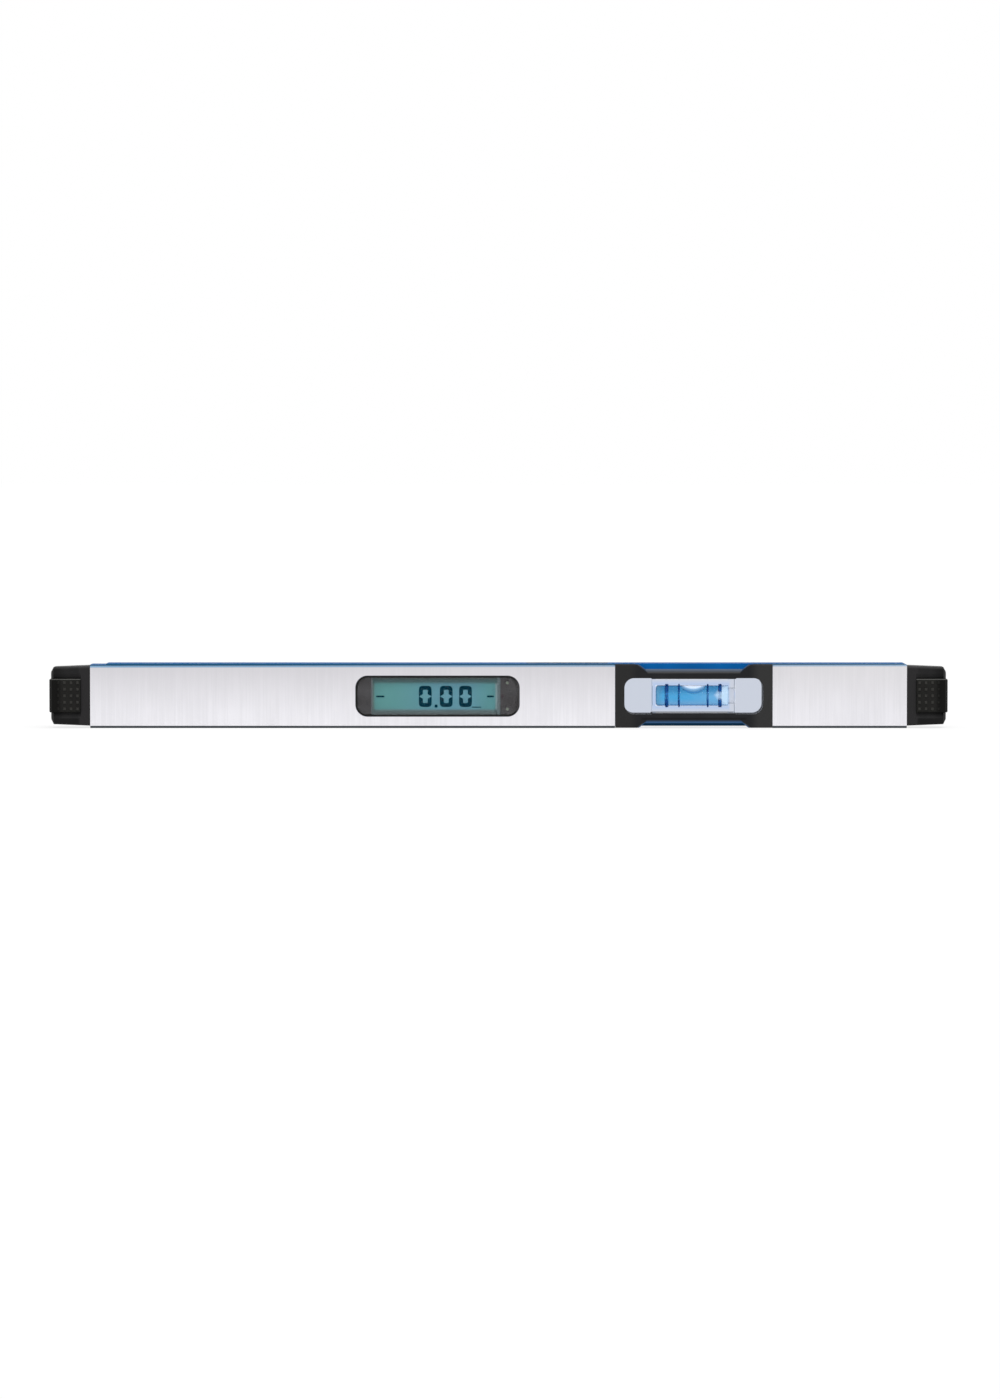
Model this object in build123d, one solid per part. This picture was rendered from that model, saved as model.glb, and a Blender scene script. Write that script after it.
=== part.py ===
from build123d import *
import math
import os

# Digital box level, in millimetres.
# X runs along the level, the display side faces -Y, Z is up and z = 0 is the base.

# Body: an extruded core in a bent metal jacket, with a rail along its top
overall_length = 600.0
end_reach = 27.5
body_height = 43.2
body_depth = 24.0
jacket_sheet = 1.5
jacket_inner_bend = 0.5
jacket_reveal = 0.8
rail_thickness = 0.8
rail_edge_radius = 0.4
rail_left_setback = 10.5
rail_right_setback = 1.3
core_wall = 1.8
core_deck = 2.0
core_edge_relief = 0.3
core_bore_radius = 0.6
feature_drop = 0.2

# Clearances shared by every piece
insert_gap = 0.2
slip_gap = 0.1
seat_gap = 0.05

# End caps and their rubber bumpers
cap_root_inset = 0.4
cap_side_cover = 0.8
cap_taper = 0.95
cap_shoulder_length = 1.8
cap_shoulder_taper = 3.0
cap_corner_radius = 2.0
cap_collar = 6.3
cap_wall = 3.0
spigot_length = 12.0
spigot_wall = 2.0
bumper_height = 22.4
bumper_proud = 1.1
bumper_seat_depth = 1.2
bumper_slope = 3.4
bumper_edge = 0.6
bump_size = 2.4
bump_height = 0.5
bump_draft = 25.0
bump_pitch = 4.35
bump_rows = 5
bump_columns = 4
bump_first = 1.9

# Display on the front side
display_center = -40.7
display_length = 109.3
display_height = 27.1
display_corner = 8.0
display_rim = 1.2
display_rim_radius = 0.3
display_proud = 0.3
display_ledge = 1.55
display_frame_wall = 0.9
lens_thickness = 0.9
lens_setback = 0.15
lcd_left_border = 11.4
lcd_right_border = 14.7
lcd_margin = 1.7
lcd_thickness = 2.0
backlight_thickness = 2.6
backlight_margin = 2.4
contact_strip_width = 2.0
tilt_led_inset = 8.1
tilt_led_spread = 17.6
level_led_inset = 11.3
led_radius = 0.9

# Circuit board and the carrier that clamps the display
carrier_margin = 4.0
carrier_depth = 5.4
board_thickness = 1.6
board_screw_inset = 4.7
board_screw_spread = 13.0
board_screw_radius = 0.9
board_screw_bite = 1.3
screw_head_radius = 1.9
screw_head_height = 1.3
screw_cross_arm = 2.4
screw_cross_width = 0.5
screw_cross_depth = 0.65
sensor_length = 15.0
sensor_height = 15.0
sensor_depth = 6.0
sensor_corner = 1.0
chip_side = 10.0
chip_depth = 1.4
buzzer_radius = 6.0
buzzer_depth = 5.5
buzzer_port_radius = 1.0
buzzer_port_depth = 2.5
part_spacing = 14.0
socket_length = 5.5
socket_height = 8.0
socket_depth = 4.4

# Keypad in the top face, between the display and the vial
keypad_gap = 5.0
key_count = 4
key_length = 8.6
key_width = 7.0
key_corner = 1.4
key_recess = 0.2
key_skirt = 0.7
key_skirt_thickness = 0.8
key_spacing = 1.0
key_travel = 0.8
key_stem_radius = 1.6
key_stem_length = 0.6
key_plate = 2.0
key_room = 0.6
keypad_post = 2.9
keypad_wall = 1.2
keypad_ledge = 2.0
keypad_corner = 2.0
dome_radius = 2.6
dome_top_radius = 1.5
dome_flat = 0.4
key_board_thickness = 1.0
keypad_screw_radius = 0.8
keypad_screw_head_radius = 1.6
keypad_screw_head_height = 0.8
keypad_screw_slot = 0.4
flex_width = 6.0
flex_thickness = 0.2
flex_bend_radius = 1.0
flex_inset = 4.0
flex_lap = 4.0
flex_standoff = 0.8
flex_drop = 5.0
flex_socket_height = 3.0
flex_socket_depth = 1.8
flex_socket_rim = 1.0
tongue_height = 14.0

# Vial bay, seen through both sides
bay_gap = 5.0
window_length = 92.6
window_height = 24.0
window_corner = 6.5
window_chamfer = 0.3
waist_length = 56.4
waist_height = 23.0
bezel_post = 6.1
bezel_proud = 0.8
bezel_edge_radius = 0.4
bezel_end_gap = 0.5
notch_mouth = 78.4
notch_floor = 61.4
notch_depth = 6.5
notch_floor_bevel = 2.8
notch_side_bevel = 1.8
sleeve_wall = 1.6
pane_grip = 1.2
pane_thickness = 4.0
boss_radius = 2.2
boss_gap = 0.1
bezel_screw_radius = 1.0
bezel_screw_reach = 7.5
bezel_screw_sink = 0.3

# Vial
block_end_gap = 0.5
block_side_gap = 0.2
block_depth = 18.0
block_edge = 0.25
bore_radius = 7.0
bore_end_wall = 2.4
bore_end_radius = 2.0
plug_length = 4.4
plug_radius = 5.4
ring_depth = 0.8
level_line_spacing = 19.2
level_line_width = 0.9
slope_ring_spacing = 35.6
slope_ring_width = 2.0
bubble_length = 16.0
bubble_depth = 5.9
bubble_end_gap = 0.3

# Battery compartment in the rear side
battery_gap = 20.0
cell_radius = 5.2
cell_length = 44.5
cell_nub_radius = 2.7
cell_nub_length = 1.2
cell_spacing = 0.8
cell_room = 0.4
contact_room = 3.2
contact_thickness = 0.3
contact_width = 5.0
contact_height = 8.0
tray_wall = 1.5
tray_end_block = 8.0
tray_flange = 3.0
tray_corner = 2.0
door_lap = 2.2
door_thickness = 2.2
door_screw_radius = 1.25
door_screw_head_radius = 2.6
door_screw_head_height = 1.2
door_screw_reach = 6.0
door_screw_slot = 0.8
door_screw_slot_depth = 0.6
seal_thickness = 0.5
seal_width = 1.2
lead_radius = 0.65
lead_spacing = 3.0
lead_slack = 2.0
lead_bend_share = 0.45

# Planes and limits worked out from the sizes above
side_y = body_depth / 2
core_y = side_y - jacket_sheet
cavity_y = core_y - core_wall
core_bottom = jacket_sheet
core_top = body_height - rail_thickness
cavity_bottom = core_bottom + core_deck
cavity_top = core_top - core_deck
core_mid = (core_bottom + core_top) / 2
mid_z = body_height / 2 - feature_drop
profile_length = overall_length - 2 * end_reach
profile_end = profile_length / 2
jacket_top = core_top - jacket_reveal

display_left = display_center - display_length / 2
display_right = display_center + display_length / 2
display_front = -(side_y + display_proud)
lens_front = display_front + lens_setback
lens_back = lens_front + lens_thickness
frame_back = -(cavity_y + seat_gap)
aperture_left = display_left + lcd_left_border
aperture_right = display_right - lcd_right_border
aperture_height = display_height - 2 * (display_ledge + display_frame_wall)
lcd_left = aperture_left - lcd_margin
lcd_right = aperture_right + lcd_margin
lcd_height = aperture_height + 2 * lcd_margin
carrier_front = -cavity_y
lcd_front = carrier_front + seat_gap
lcd_back = lcd_front + lcd_thickness
board_front = carrier_front + carrier_depth
board_back = board_front + board_thickness
carrier_left = display_left - carrier_margin
carrier_right = display_right + carrier_margin
carrier_bottom = cavity_bottom + core_bore_radius + slip_gap
carrier_top = cavity_top - core_bore_radius - slip_gap

key_pitch = key_length + 2 * key_skirt + key_spacing
key_cavity_length = key_count * key_pitch - key_spacing + 2 * key_room
key_cavity_width = key_width + 2 * key_skirt + 2 * key_room
keypad_body_length = key_cavity_length + 2 * keypad_post
keypad_body_width = key_cavity_width + 2 * keypad_wall
keypad_length = keypad_body_length + 2 * keypad_ledge
keypad_width = keypad_body_width + 2 * keypad_ledge
keypad_left = display_right + keypad_gap
keypad_center = keypad_left + keypad_length / 2
key_ceiling = body_height - key_plate
key_skirt_bottom = key_ceiling - seat_gap - key_skirt_thickness
key_stem_bottom = key_skirt_bottom - key_stem_length
dome_height = key_travel + dome_flat
key_board_top = key_stem_bottom - seat_gap - dome_height
key_board_bottom = key_board_top - key_board_thickness
flex_left = keypad_center - keypad_body_length / 2 + flex_inset
flex_right = flex_left + flex_width

bezel_length = window_length + 2 * bezel_post
bay_left = keypad_left + keypad_length + bay_gap
bay_center = bay_left + bezel_length / 2
bay_right = bay_left + bezel_length
bezel_front = -(side_y + bezel_proud)
bezel_thickness = -bezel_front - core_y
sleeve_end = pane_thickness / 2 + seat_gap
boss_x = window_length / 2 + sleeve_wall + boss_radius
boss_z = (cavity_top - cavity_bottom) / 2 - boss_radius - insert_gap

block_left = bay_center - waist_length / 2 + block_end_gap
block_right = bay_center + waist_length / 2 - block_end_gap
block_height = waist_height - 2 * block_side_gap
bore_start = block_left + bore_end_wall
bore_end = block_right - plug_length
bubble_travel = bore_end - bay_center - bubble_length / 2 - bubble_end_gap
bubble_radius = (bubble_length ** 2 / 4 + bubble_depth ** 2) / (2 * bubble_depth)
bubble_axis_z = mid_z + bore_radius - bubble_depth + bubble_radius

tray_cavity_length = cell_length + 2 * contact_room
tray_cavity_height = 4 * cell_radius + cell_spacing + 2 * cell_room
door_length = tray_cavity_length + 2 * tray_end_block
door_height = tray_cavity_height + 2 * door_lap
tray_length = door_length + 2 * (insert_gap + tray_wall)
tray_height = door_height + 2 * (insert_gap + tray_wall)
battery_length = tray_length + 2 * tray_flange
battery_height = tray_height + 2 * tray_flange
battery_center = display_left - battery_gap - battery_length / 2
door_seat = side_y - door_thickness - seal_thickness
tray_floor = door_seat - 2 * (cell_radius + cell_room)
tray_back = tray_floor - tray_wall
door_screw_x = tray_cavity_length / 2 + tray_end_block / 2
lead_z = mid_z + socket_height / 2
lead_y = board_back + socket_depth / 2


def block(x_limits, y_limits, z_limits):
    """A box between two limits on each axis."""
    sizes = [high - low for low, high in (x_limits, y_limits, z_limits)]
    centers = [(high + low) / 2 for low, high in (x_limits, y_limits, z_limits)]
    return Pos(*centers) * Box(*sizes)


def front_plane(y):
    """A plane that faces the display side, drawn on in X and Z."""
    return Plane(origin=(0, y, 0), x_dir=(1, 0, 0), z_dir=(0, -1, 0))


def slab(outline, near_y, far_y):
    """An outline in X and Z, given thickness along Y."""
    return extrude(front_plane(far_y) * outline, far_y - near_y)


def panel(x, z, length, height, corner):
    """A rounded rectangle in X and Z."""
    return Pos(x, z) * RectangleRounded(length, height, corner)


def rod_y(x, z, radius, near_y, far_y):
    return slab(Pos(x, z) * Circle(radius), near_y, far_y)


def cross_slot(x, z, face_y):
    """The cross recess of a screw whose head faces +Y."""
    arm = screw_cross_arm / 2
    half = screw_cross_width / 2
    depth = (face_y - screw_cross_depth, face_y)
    return block((x - arm, x + arm), depth, (z - half, z + half)) + block(
        (x - half, x + half), depth, (z - arm, z + arm)
    )


def rod_x(y, z, radius, start_x, end_x):
    return extrude(Plane.YZ.offset(start_x) * Pos(y, z) * Circle(radius), end_x - start_x)


def rod_z(x, y, radius, low_z, high_z):
    return extrude(Plane.XY.offset(low_z) * Pos(x, y) * Circle(radius), high_z - low_z)


def tile(x, y, length, width, corner, low_z, high_z):
    """A rounded rectangle in X and Y, given thickness along Z."""
    outline = Pos(x, y) * RectangleRounded(length, width, corner)
    return extrude(Plane.XY.offset(low_z) * outline, high_z - low_z)


def group(shapes):
    """Separate solids that share one name."""
    return Compound([solid for shape in shapes for solid in shape.solids()])


# Outlines that two or more pieces share

def display_outline(inset):
    return panel(
        display_center, mid_z,
        display_length - 2 * inset, display_height - 2 * inset, display_corner - inset,
    )


def battery_outline(length, height):
    return panel(battery_center, mid_z, length, height, tray_corner)


def window_outline(growth):
    return panel(
        bay_center, mid_z,
        window_length + 2 * growth, window_height + 2 * growth, window_corner + growth,
    )


def keypad_hole(growth, low_z, high_z):
    """The space that the keypad's body takes in the deck of the core."""
    return tile(
        keypad_center, 0,
        keypad_body_length + 2 * growth, keypad_body_width + 2 * growth, keypad_corner,
        low_z, high_z,
    )


def boss_places():
    return [(bay_center + sx * boss_x, core_mid + sz * boss_z) for sx in (-1, 1) for sz in (-1, 1)]


def board_screw_places():
    ends = (display_left + board_screw_inset, display_right - board_screw_inset)
    return [(x, mid_z + side * board_screw_spread / 2) for x in ends for side in (-1, 1)]


def tilt_led_places():
    x = display_right - tilt_led_inset
    return [(x, mid_z - tilt_led_spread / 2), (x, mid_z + tilt_led_spread / 2)]


def level_led_place():
    return (display_right - level_led_inset, mid_z)


def keypad_screw_places():
    reach = key_cavity_length / 2 + keypad_post / 2
    return [keypad_center - reach, keypad_center + reach]


def key_places():
    first = keypad_center - (key_count - 1) * key_pitch / 2
    return [first + index * key_pitch for index in range(key_count)]


def door_screw_places():
    return [battery_center - door_screw_x, battery_center + door_screw_x]


# Body

def make_box_profile():
    outer = block((-profile_end, profile_end), (-core_y, core_y), (core_bottom, core_top))
    lower_edges = outer.edges().filter_by(Axis.X).group_by(Axis.Z)[0]
    outer = fillet(lower_edges, jacket_inner_bend + core_edge_relief)
    bore = block((-profile_end, profile_end), (-cavity_y, cavity_y), (cavity_bottom, cavity_top))
    bore = fillet(bore.edges().filter_by(Axis.X), core_bore_radius)
    core = outer - bore
    core -= slab(display_outline(display_ledge - insert_gap), -core_y, 0)
    tray_hole = battery_outline(tray_length + 2 * insert_gap, tray_height + 2 * insert_gap)
    core -= slab(tray_hole, 0, core_y)
    core -= keypad_hole(insert_gap, mid_z, core_top)
    core -= slab(window_outline(sleeve_wall + insert_gap), -core_y, core_y)
    for x, z in boss_places():
        core -= rod_y(x, z, boss_radius + insert_gap, -core_y, core_y)
    return core


def make_jacket(start_x, end_x):
    outer = block((start_x, end_x), (-side_y, side_y), (0, jacket_top))
    outer = fillet(
        outer.edges().filter_by(Axis.X).group_by(Axis.Z)[0], jacket_inner_bend + jacket_sheet
    )
    inner = block((start_x, end_x), (-core_y, core_y), (core_bottom, body_height))
    inner = fillet(inner.edges().filter_by(Axis.X).group_by(Axis.Z)[0], jacket_inner_bend)
    return outer - inner


def make_jacket_left():
    jacket = make_jacket(-profile_end, bay_left - insert_gap)
    jacket -= slab(display_outline(-insert_gap), -side_y, 0)
    flange_hole = battery_outline(battery_length + 2 * insert_gap, battery_height + 2 * insert_gap)
    return jacket - slab(flange_hole, 0, side_y)


def make_jacket_right():
    return make_jacket(bay_right + insert_gap, profile_end)


def make_top_rail():
    rail = block(
        (-profile_end + rail_left_setback, profile_end - rail_right_setback),
        (-core_y, core_y), (core_top, body_height),
    )
    rail = fillet(rail.edges().group_by(Axis.Z)[-1], rail_edge_radius)
    return rail - tile(
        keypad_center, 0,
        keypad_length + 2 * insert_gap, keypad_width + 2 * insert_gap, keypad_corner,
        core_top, body_height,
    )


# End caps

cap_mid = body_height / 2
cap_tip_x = overall_length / 2 - bumper_proud
cap_shoulder_x = cap_tip_x - cap_shoulder_length
cap_root_half_depth = core_y + cap_side_cover
cap_root_half_height = (core_top - core_bottom) / 2 - cap_root_inset
cap_end_half_depth = cap_root_half_depth - cap_taper
cap_end_half_height = cap_root_half_height - cap_taper
recess_start = profile_end + cap_collar
taper_rate = cap_taper / (cap_shoulder_x - profile_end)


def cap_section(x, half_depth, half_height):
    outline = RectangleRounded(2 * half_depth, 2 * half_height, cap_corner_radius)
    return Plane.YZ.offset(x) * Pos(0, cap_mid) * outline


def cap_form(growth):
    """The right cap's tapered outer form, its skin moved out by growth."""
    return loft(
        [
            cap_section(profile_end, cap_root_half_depth + growth, cap_root_half_height + growth),
            cap_section(cap_shoulder_x + growth, cap_end_half_depth + growth, cap_end_half_height + growth),
            cap_section(
                cap_tip_x + growth,
                cap_end_half_depth - cap_shoulder_taper + growth,
                cap_end_half_height - cap_shoulder_taper + growth,
            ),
        ],
        ruled=True,
    )


seat_half_height = bumper_height / 2 + insert_gap


def recess_outline(surface):
    """Half of the bumper's seat in section: a floor below the surface and sides that slope out past it."""
    past = bumper_seat_depth
    flare = bumper_slope / bumper_seat_depth
    outside = seat_half_height + bumper_slope + flare * past
    return make_face(Polyline(
        (0, cap_mid - seat_half_height),
        (surface - bumper_seat_depth, cap_mid - seat_half_height),
        (surface + past, cap_mid - outside),
        (surface + past, cap_mid + outside),
        (surface - bumper_seat_depth, cap_mid + seat_half_height),
        (0, cap_mid + seat_half_height),
        close=True,
    ))


def recess_mouth():
    """The bumper's seat: sloped sides on the two faces, straight ones round the end."""
    surface = cap_root_half_depth - taper_rate * cap_collar
    side = extrude(
        Plane.YZ.offset(recess_start) * recess_outline(surface),
        cap_shoulder_x - recess_start, dir=(1, -taper_rate, 0),
    )
    wrap = block(
        (recess_start, cap_tip_x), (-core_y, core_y),
        (cap_mid - seat_half_height, cap_mid + seat_half_height),
    )
    return side + mirror(side, about=Plane.XZ) + wrap


def make_end_cap_right():
    cap = cap_form(0) - (recess_mouth() - cap_form(-bumper_seat_depth))
    spigot_y = cavity_y - slip_gap
    spigot_bottom = cavity_bottom + slip_gap
    spigot_top = cavity_top - slip_gap
    spigot = block(
        (profile_end - spigot_length, profile_end),
        (-spigot_y, spigot_y), (spigot_bottom, spigot_top),
    )
    spigot = fillet(spigot.edges().filter_by(Axis.X), core_bore_radius)
    hollow = block(
        (profile_end - spigot_length, cap_shoulder_x - cap_wall),
        (-spigot_y + spigot_wall, spigot_y - spigot_wall),
        (spigot_bottom + spigot_wall, spigot_top - spigot_wall),
    )
    return cap + spigot - hollow


def bump(x, z, surface_y):
    """One raised square of the bumper's grip, on the side that faces -Y."""
    square = front_plane(bump_height - surface_y) * Pos(x, z) * Rectangle(bump_size, bump_size)
    return extrude(square, 2 * bump_height, taper=bump_draft)


def make_bumper_right():
    start = recess_start + insert_gap
    skin = cap_form(bumper_proud) - cap_form(seat_gap - bumper_seat_depth)
    band = block(
        (start, overall_length / 2),
        (-body_depth, body_depth),
        (cap_mid - bumper_height / 2, cap_mid + bumper_height / 2),
    )
    bumper = skin & band
    inside = cap_form(bumper_proud - seat_gap)
    levels = bumper.edges().group_by(Axis.Z)
    rims = [edge for edge in levels[0] + levels[-1] if not inside.is_inside(edge.center())]
    bumper = chamfer(rims, bumper_edge)
    bumps = []
    for column in range(bump_columns):
        x = start + bump_first + column * bump_pitch
        surface = cap_root_half_depth + bumper_proud - taper_rate * (x - profile_end)
        for row in range(bump_rows):
            z = cap_mid + (row - (bump_rows - 1) / 2) * bump_pitch
            front = bump(x, z, surface)
            bumps += [front, mirror(front, about=Plane.XZ)]
    return bumper.fuse(*bumps)


def mirrored(shape):
    return mirror(shape, about=Plane.YZ)


# Vial bay

def notch_outline(rise, inset):
    """The notch in X and Z, its floor raised and its sloped sides moved in."""
    floor_z = body_height - notch_depth + rise
    past_z = body_height + bezel_thickness
    slope = (notch_mouth - notch_floor) / 2 / notch_depth
    half_floor = notch_floor / 2 + slope * rise - inset
    half_top = half_floor + slope * (past_z - floor_z)
    return make_face(Polyline(
        (bay_center - half_floor, floor_z),
        (bay_center + half_floor, floor_z),
        (bay_center + half_top, past_z),
        (bay_center - half_top, past_z),
        close=True,
    ))


def notch():
    """The sloped opening in a bezel's upper edge, wider towards the front."""
    front = front_plane(bezel_front) * notch_outline(0, 0)
    back = front_plane(-core_y) * notch_outline(notch_floor_bevel, notch_side_bevel)
    return loft([front, back], ruled=True)


def window_cut():
    """The bezel's opening: two round-cornered lobes joined by a lower waist."""
    waist_cut = Pos(bay_center, mid_z) * (
        Rectangle(waist_length, window_height) - Rectangle(waist_length, waist_height)
    )
    return window_outline(0) - waist_cut


def make_bezel_blank():
    """The front bezel before its screw holes."""
    plate = slab(
        Pos(bay_center, mid_z) * Rectangle(bezel_length, body_height - 2 * bezel_end_gap),
        bezel_front, -core_y,
    )
    plate = fillet(plate.faces().sort_by(Axis.Y)[0].edges(), bezel_edge_radius)
    plate -= slab(window_cut(), bezel_front, -core_y)
    front_face = plate.faces().sort_by(Axis.Y)[0]
    plate = chamfer(front_face.inner_wires()[0].edges(), window_chamfer)
    upper = notch()
    plate -= upper
    plate -= mirror(upper, about=Plane.XY.offset(mid_z))
    plate += slab(window_outline(sleeve_wall) - window_outline(0), -core_y, -sleeve_end)
    for x, z in boss_places():
        plate += rod_y(x, z, boss_radius, -core_y, -boss_gap)
    return plate


def make_vial_bezel_front():
    bezel = make_bezel_blank()
    for x, z in boss_places():
        bezel -= rod_y(x, z, bezel_screw_radius, -bezel_screw_reach - slip_gap, 0)
    return bezel


def make_vial_bezel_rear():
    bezel = mirror(make_bezel_blank(), about=Plane.XZ)
    sink = -bezel_front - bezel_screw_sink - screw_head_height
    for x, z in boss_places():
        bezel -= rod_y(x, z, bezel_screw_radius + slip_gap, 0, -bezel_front)
        bezel -= rod_y(x, z, screw_head_radius + slip_gap, sink, -bezel_front)
    return bezel


def make_vial_bezel_screws():
    seat = -bezel_front - bezel_screw_sink - screw_head_height
    screws = []
    for x, z in boss_places():
        shank = rod_y(x, z, bezel_screw_radius - seat_gap, -bezel_screw_reach, seat + slip_gap)
        head = rod_y(x, z, screw_head_radius, seat + seat_gap, seat + screw_head_height)
        screws.append(shank + head - cross_slot(x, z, seat + screw_head_height))
    return group(screws)


def bore_form(gap):
    """The vial's round chamber, shrunk by gap."""
    chamber = rod_x(0, mid_z, bore_radius - gap, bore_start + gap, bore_end - gap)
    closed_end = chamber.edges().filter_by(GeomType.CIRCLE).sort_by(Axis.X)[0]
    return fillet(closed_end, bore_end_radius)


def vial_ring(offset_x, width, gap):
    """A ring let into the wall of the chamber."""
    start = bay_center + offset_x - width / 2 + gap
    end = bay_center + offset_x + width / 2 - gap
    outer = rod_x(0, mid_z, bore_radius + ring_depth - gap, start, end)
    return outer - rod_x(0, mid_z, bore_radius, start, end)


def make_ring_pair(spacing, width):
    return group([vial_ring(side * spacing / 2, width, seat_gap) for side in (-1, 1)])


def make_vial_block():
    pane = slab(window_outline(pane_grip), -pane_thickness / 2, pane_thickness / 2)
    body = block(
        (block_left, block_right), (-block_depth / 2, block_depth / 2),
        (mid_z - block_height / 2, mid_z + block_height / 2),
    )
    body = chamfer(body.edges(), block_edge)
    vial = pane + body - bore_form(0)
    vial -= rod_x(0, mid_z, plug_radius, bore_end - seat_gap, block_right)
    for side in (-1, 1):
        vial -= vial_ring(side * level_line_spacing / 2, level_line_width, 0)
        vial -= vial_ring(side * slope_ring_spacing / 2, slope_ring_width, 0)
    return vial


def make_vial_plug():
    return rod_x(0, mid_z, plug_radius - seat_gap, bore_end, block_right)


def make_vial_bubble():
    """The bubble lies along the top of the chamber, with a round underside."""
    underside = rod_y(bay_center, bubble_axis_z, bubble_radius, -bore_radius, bore_radius)
    return underside & rod_x(0, mid_z, bore_radius - slip_gap, bore_start, bore_end)


def make_vial_liquid():
    """The liquid leaves the bubble's whole path free, from one end of its travel to the other."""
    liquid = bore_form(seat_gap)
    radius = bubble_radius + bubble_end_gap
    liquid -= block(
        (bay_center - bubble_travel, bay_center + bubble_travel),
        (-bore_radius, bore_radius), (bubble_axis_z - radius, bubble_axis_z),
    )
    for shift in (-bubble_travel, bubble_travel):
        liquid -= rod_y(bay_center + shift, bubble_axis_z, radius, -bore_radius, bore_radius)
    return liquid


# Display

def make_display_bezel():
    flange = slab(display_outline(0), display_front, -core_y)
    flange = fillet(flange.faces().sort_by(Axis.Y)[0].edges(), display_rim_radius)
    frame = flange + slab(display_outline(display_ledge), -core_y, frame_back)
    frame -= slab(display_outline(display_rim), display_front, lens_back)
    aperture = Pos((aperture_left + aperture_right) / 2, mid_z) * Rectangle(
        aperture_right - aperture_left, aperture_height
    )
    frame -= slab(aperture, lens_back, frame_back)
    for x, z in tilt_led_places() + [level_led_place()]:
        frame -= rod_y(x, z, led_radius + slip_gap, lens_back, frame_back)
    for x, z in board_screw_places():
        frame -= rod_y(x, z, board_screw_radius, frame_back - board_screw_bite - slip_gap, frame_back)
    return frame


def make_display_lens():
    return slab(display_outline(display_rim + slip_gap), lens_front, lens_back)


def make_lcd_cell():
    return block(
        (lcd_left, lcd_right), (lcd_front, lcd_back),
        (mid_z - lcd_height / 2, mid_z + lcd_height / 2),
    )


def strip_limits(side):
    """The height limits of the contact strip above (1) or below (-1) the backlight."""
    outer = mid_z + side * (lcd_height / 2 - slip_gap)
    inner = outer - side * contact_strip_width
    return tuple(sorted((inner, outer)))


def make_lcd_backlight():
    reach = lcd_height / 2 - backlight_margin
    return block(
        (lcd_left + backlight_margin, lcd_right - backlight_margin),
        (lcd_back, lcd_back + backlight_thickness), (mid_z - reach, mid_z + reach),
    )


def make_lcd_contact_strips():
    return group([
        block((lcd_left + lcd_margin, lcd_right - lcd_margin), (lcd_back, board_front), strip_limits(side))
        for side in (-1, 1)
    ])


def make_display_carrier():
    carrier = block(
        (carrier_left, carrier_right), (carrier_front, board_front), (carrier_bottom, carrier_top)
    )
    carrier -= block(
        (lcd_left - slip_gap, lcd_right + slip_gap), (carrier_front, board_front),
        (mid_z - lcd_height / 2 - slip_gap, mid_z + lcd_height / 2 + slip_gap),
    )
    for x, z in tilt_led_places() + [level_led_place()]:
        carrier -= rod_y(x, z, led_radius + slip_gap, carrier_front, board_front)
    for x, z in board_screw_places():
        carrier -= rod_y(x, z, board_screw_radius + slip_gap, carrier_front, board_front)
    return carrier


def led_pipe(place):
    return rod_y(place[0], place[1], led_radius, lens_back, board_front)


def make_tilt_leds():
    return group([led_pipe(place) for place in tilt_led_places()])


def make_level_led():
    return led_pipe(level_led_place())


# Circuit board

sensor_x = display_center
chip_x = sensor_x - sensor_length / 2 - part_spacing - chip_side / 2
buzzer_x = sensor_x + sensor_length / 2 + part_spacing + buzzer_radius
flex_socket_top = key_board_bottom - flex_drop
lead_end = carrier_left + slip_gap


def make_main_board():
    board = block(
        (carrier_left, carrier_right), (board_front, board_back), (carrier_bottom, carrier_top)
    )
    tongue_top = flex_socket_top + flex_socket_rim
    board += block(
        (carrier_right, flex_right + 2 * flex_socket_rim), (board_front, board_back),
        (tongue_top - tongue_height, tongue_top),
    )
    for x, z in board_screw_places():
        board -= rod_y(x, z, board_screw_radius + slip_gap, board_front, board_back)
    return board


def make_board_screws():
    tip = frame_back - board_screw_bite
    top = board_back + screw_head_height
    screws = []
    for x, z in board_screw_places():
        shank = rod_y(x, z, board_screw_radius - seat_gap, tip, board_back)
        head = rod_y(x, z, screw_head_radius, board_back, top)
        screws.append(shank + head - cross_slot(x, z, top))
    return group(screws)


def make_tilt_sensor():
    can = block(
        (sensor_x - sensor_length / 2, sensor_x + sensor_length / 2),
        (board_back, board_back + sensor_depth),
        (mid_z - sensor_height / 2, mid_z + sensor_height / 2),
    )
    return fillet(can.edges().filter_by(Axis.Y), sensor_corner)


def make_controller_chip():
    return block(
        (chip_x - chip_side / 2, chip_x + chip_side / 2), (board_back, board_back + chip_depth),
        (mid_z - chip_side / 2, mid_z + chip_side / 2),
    )


def make_buzzer():
    top = board_back + buzzer_depth
    can = rod_y(buzzer_x, mid_z, buzzer_radius, board_back, top)
    return can - rod_y(buzzer_x, mid_z, buzzer_port_radius, top - buzzer_port_depth, top)


def make_battery_socket():
    return block(
        (lead_end, lead_end + socket_length), (board_back, board_back + socket_depth),
        (lead_z - socket_height / 2, lead_z + socket_height / 2),
    )


def make_flex_socket():
    return block(
        (flex_left - flex_socket_rim, flex_right + flex_socket_rim),
        (board_back, board_back + flex_socket_depth),
        (flex_socket_top - flex_socket_height, flex_socket_top),
    )


# Keypad

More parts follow.
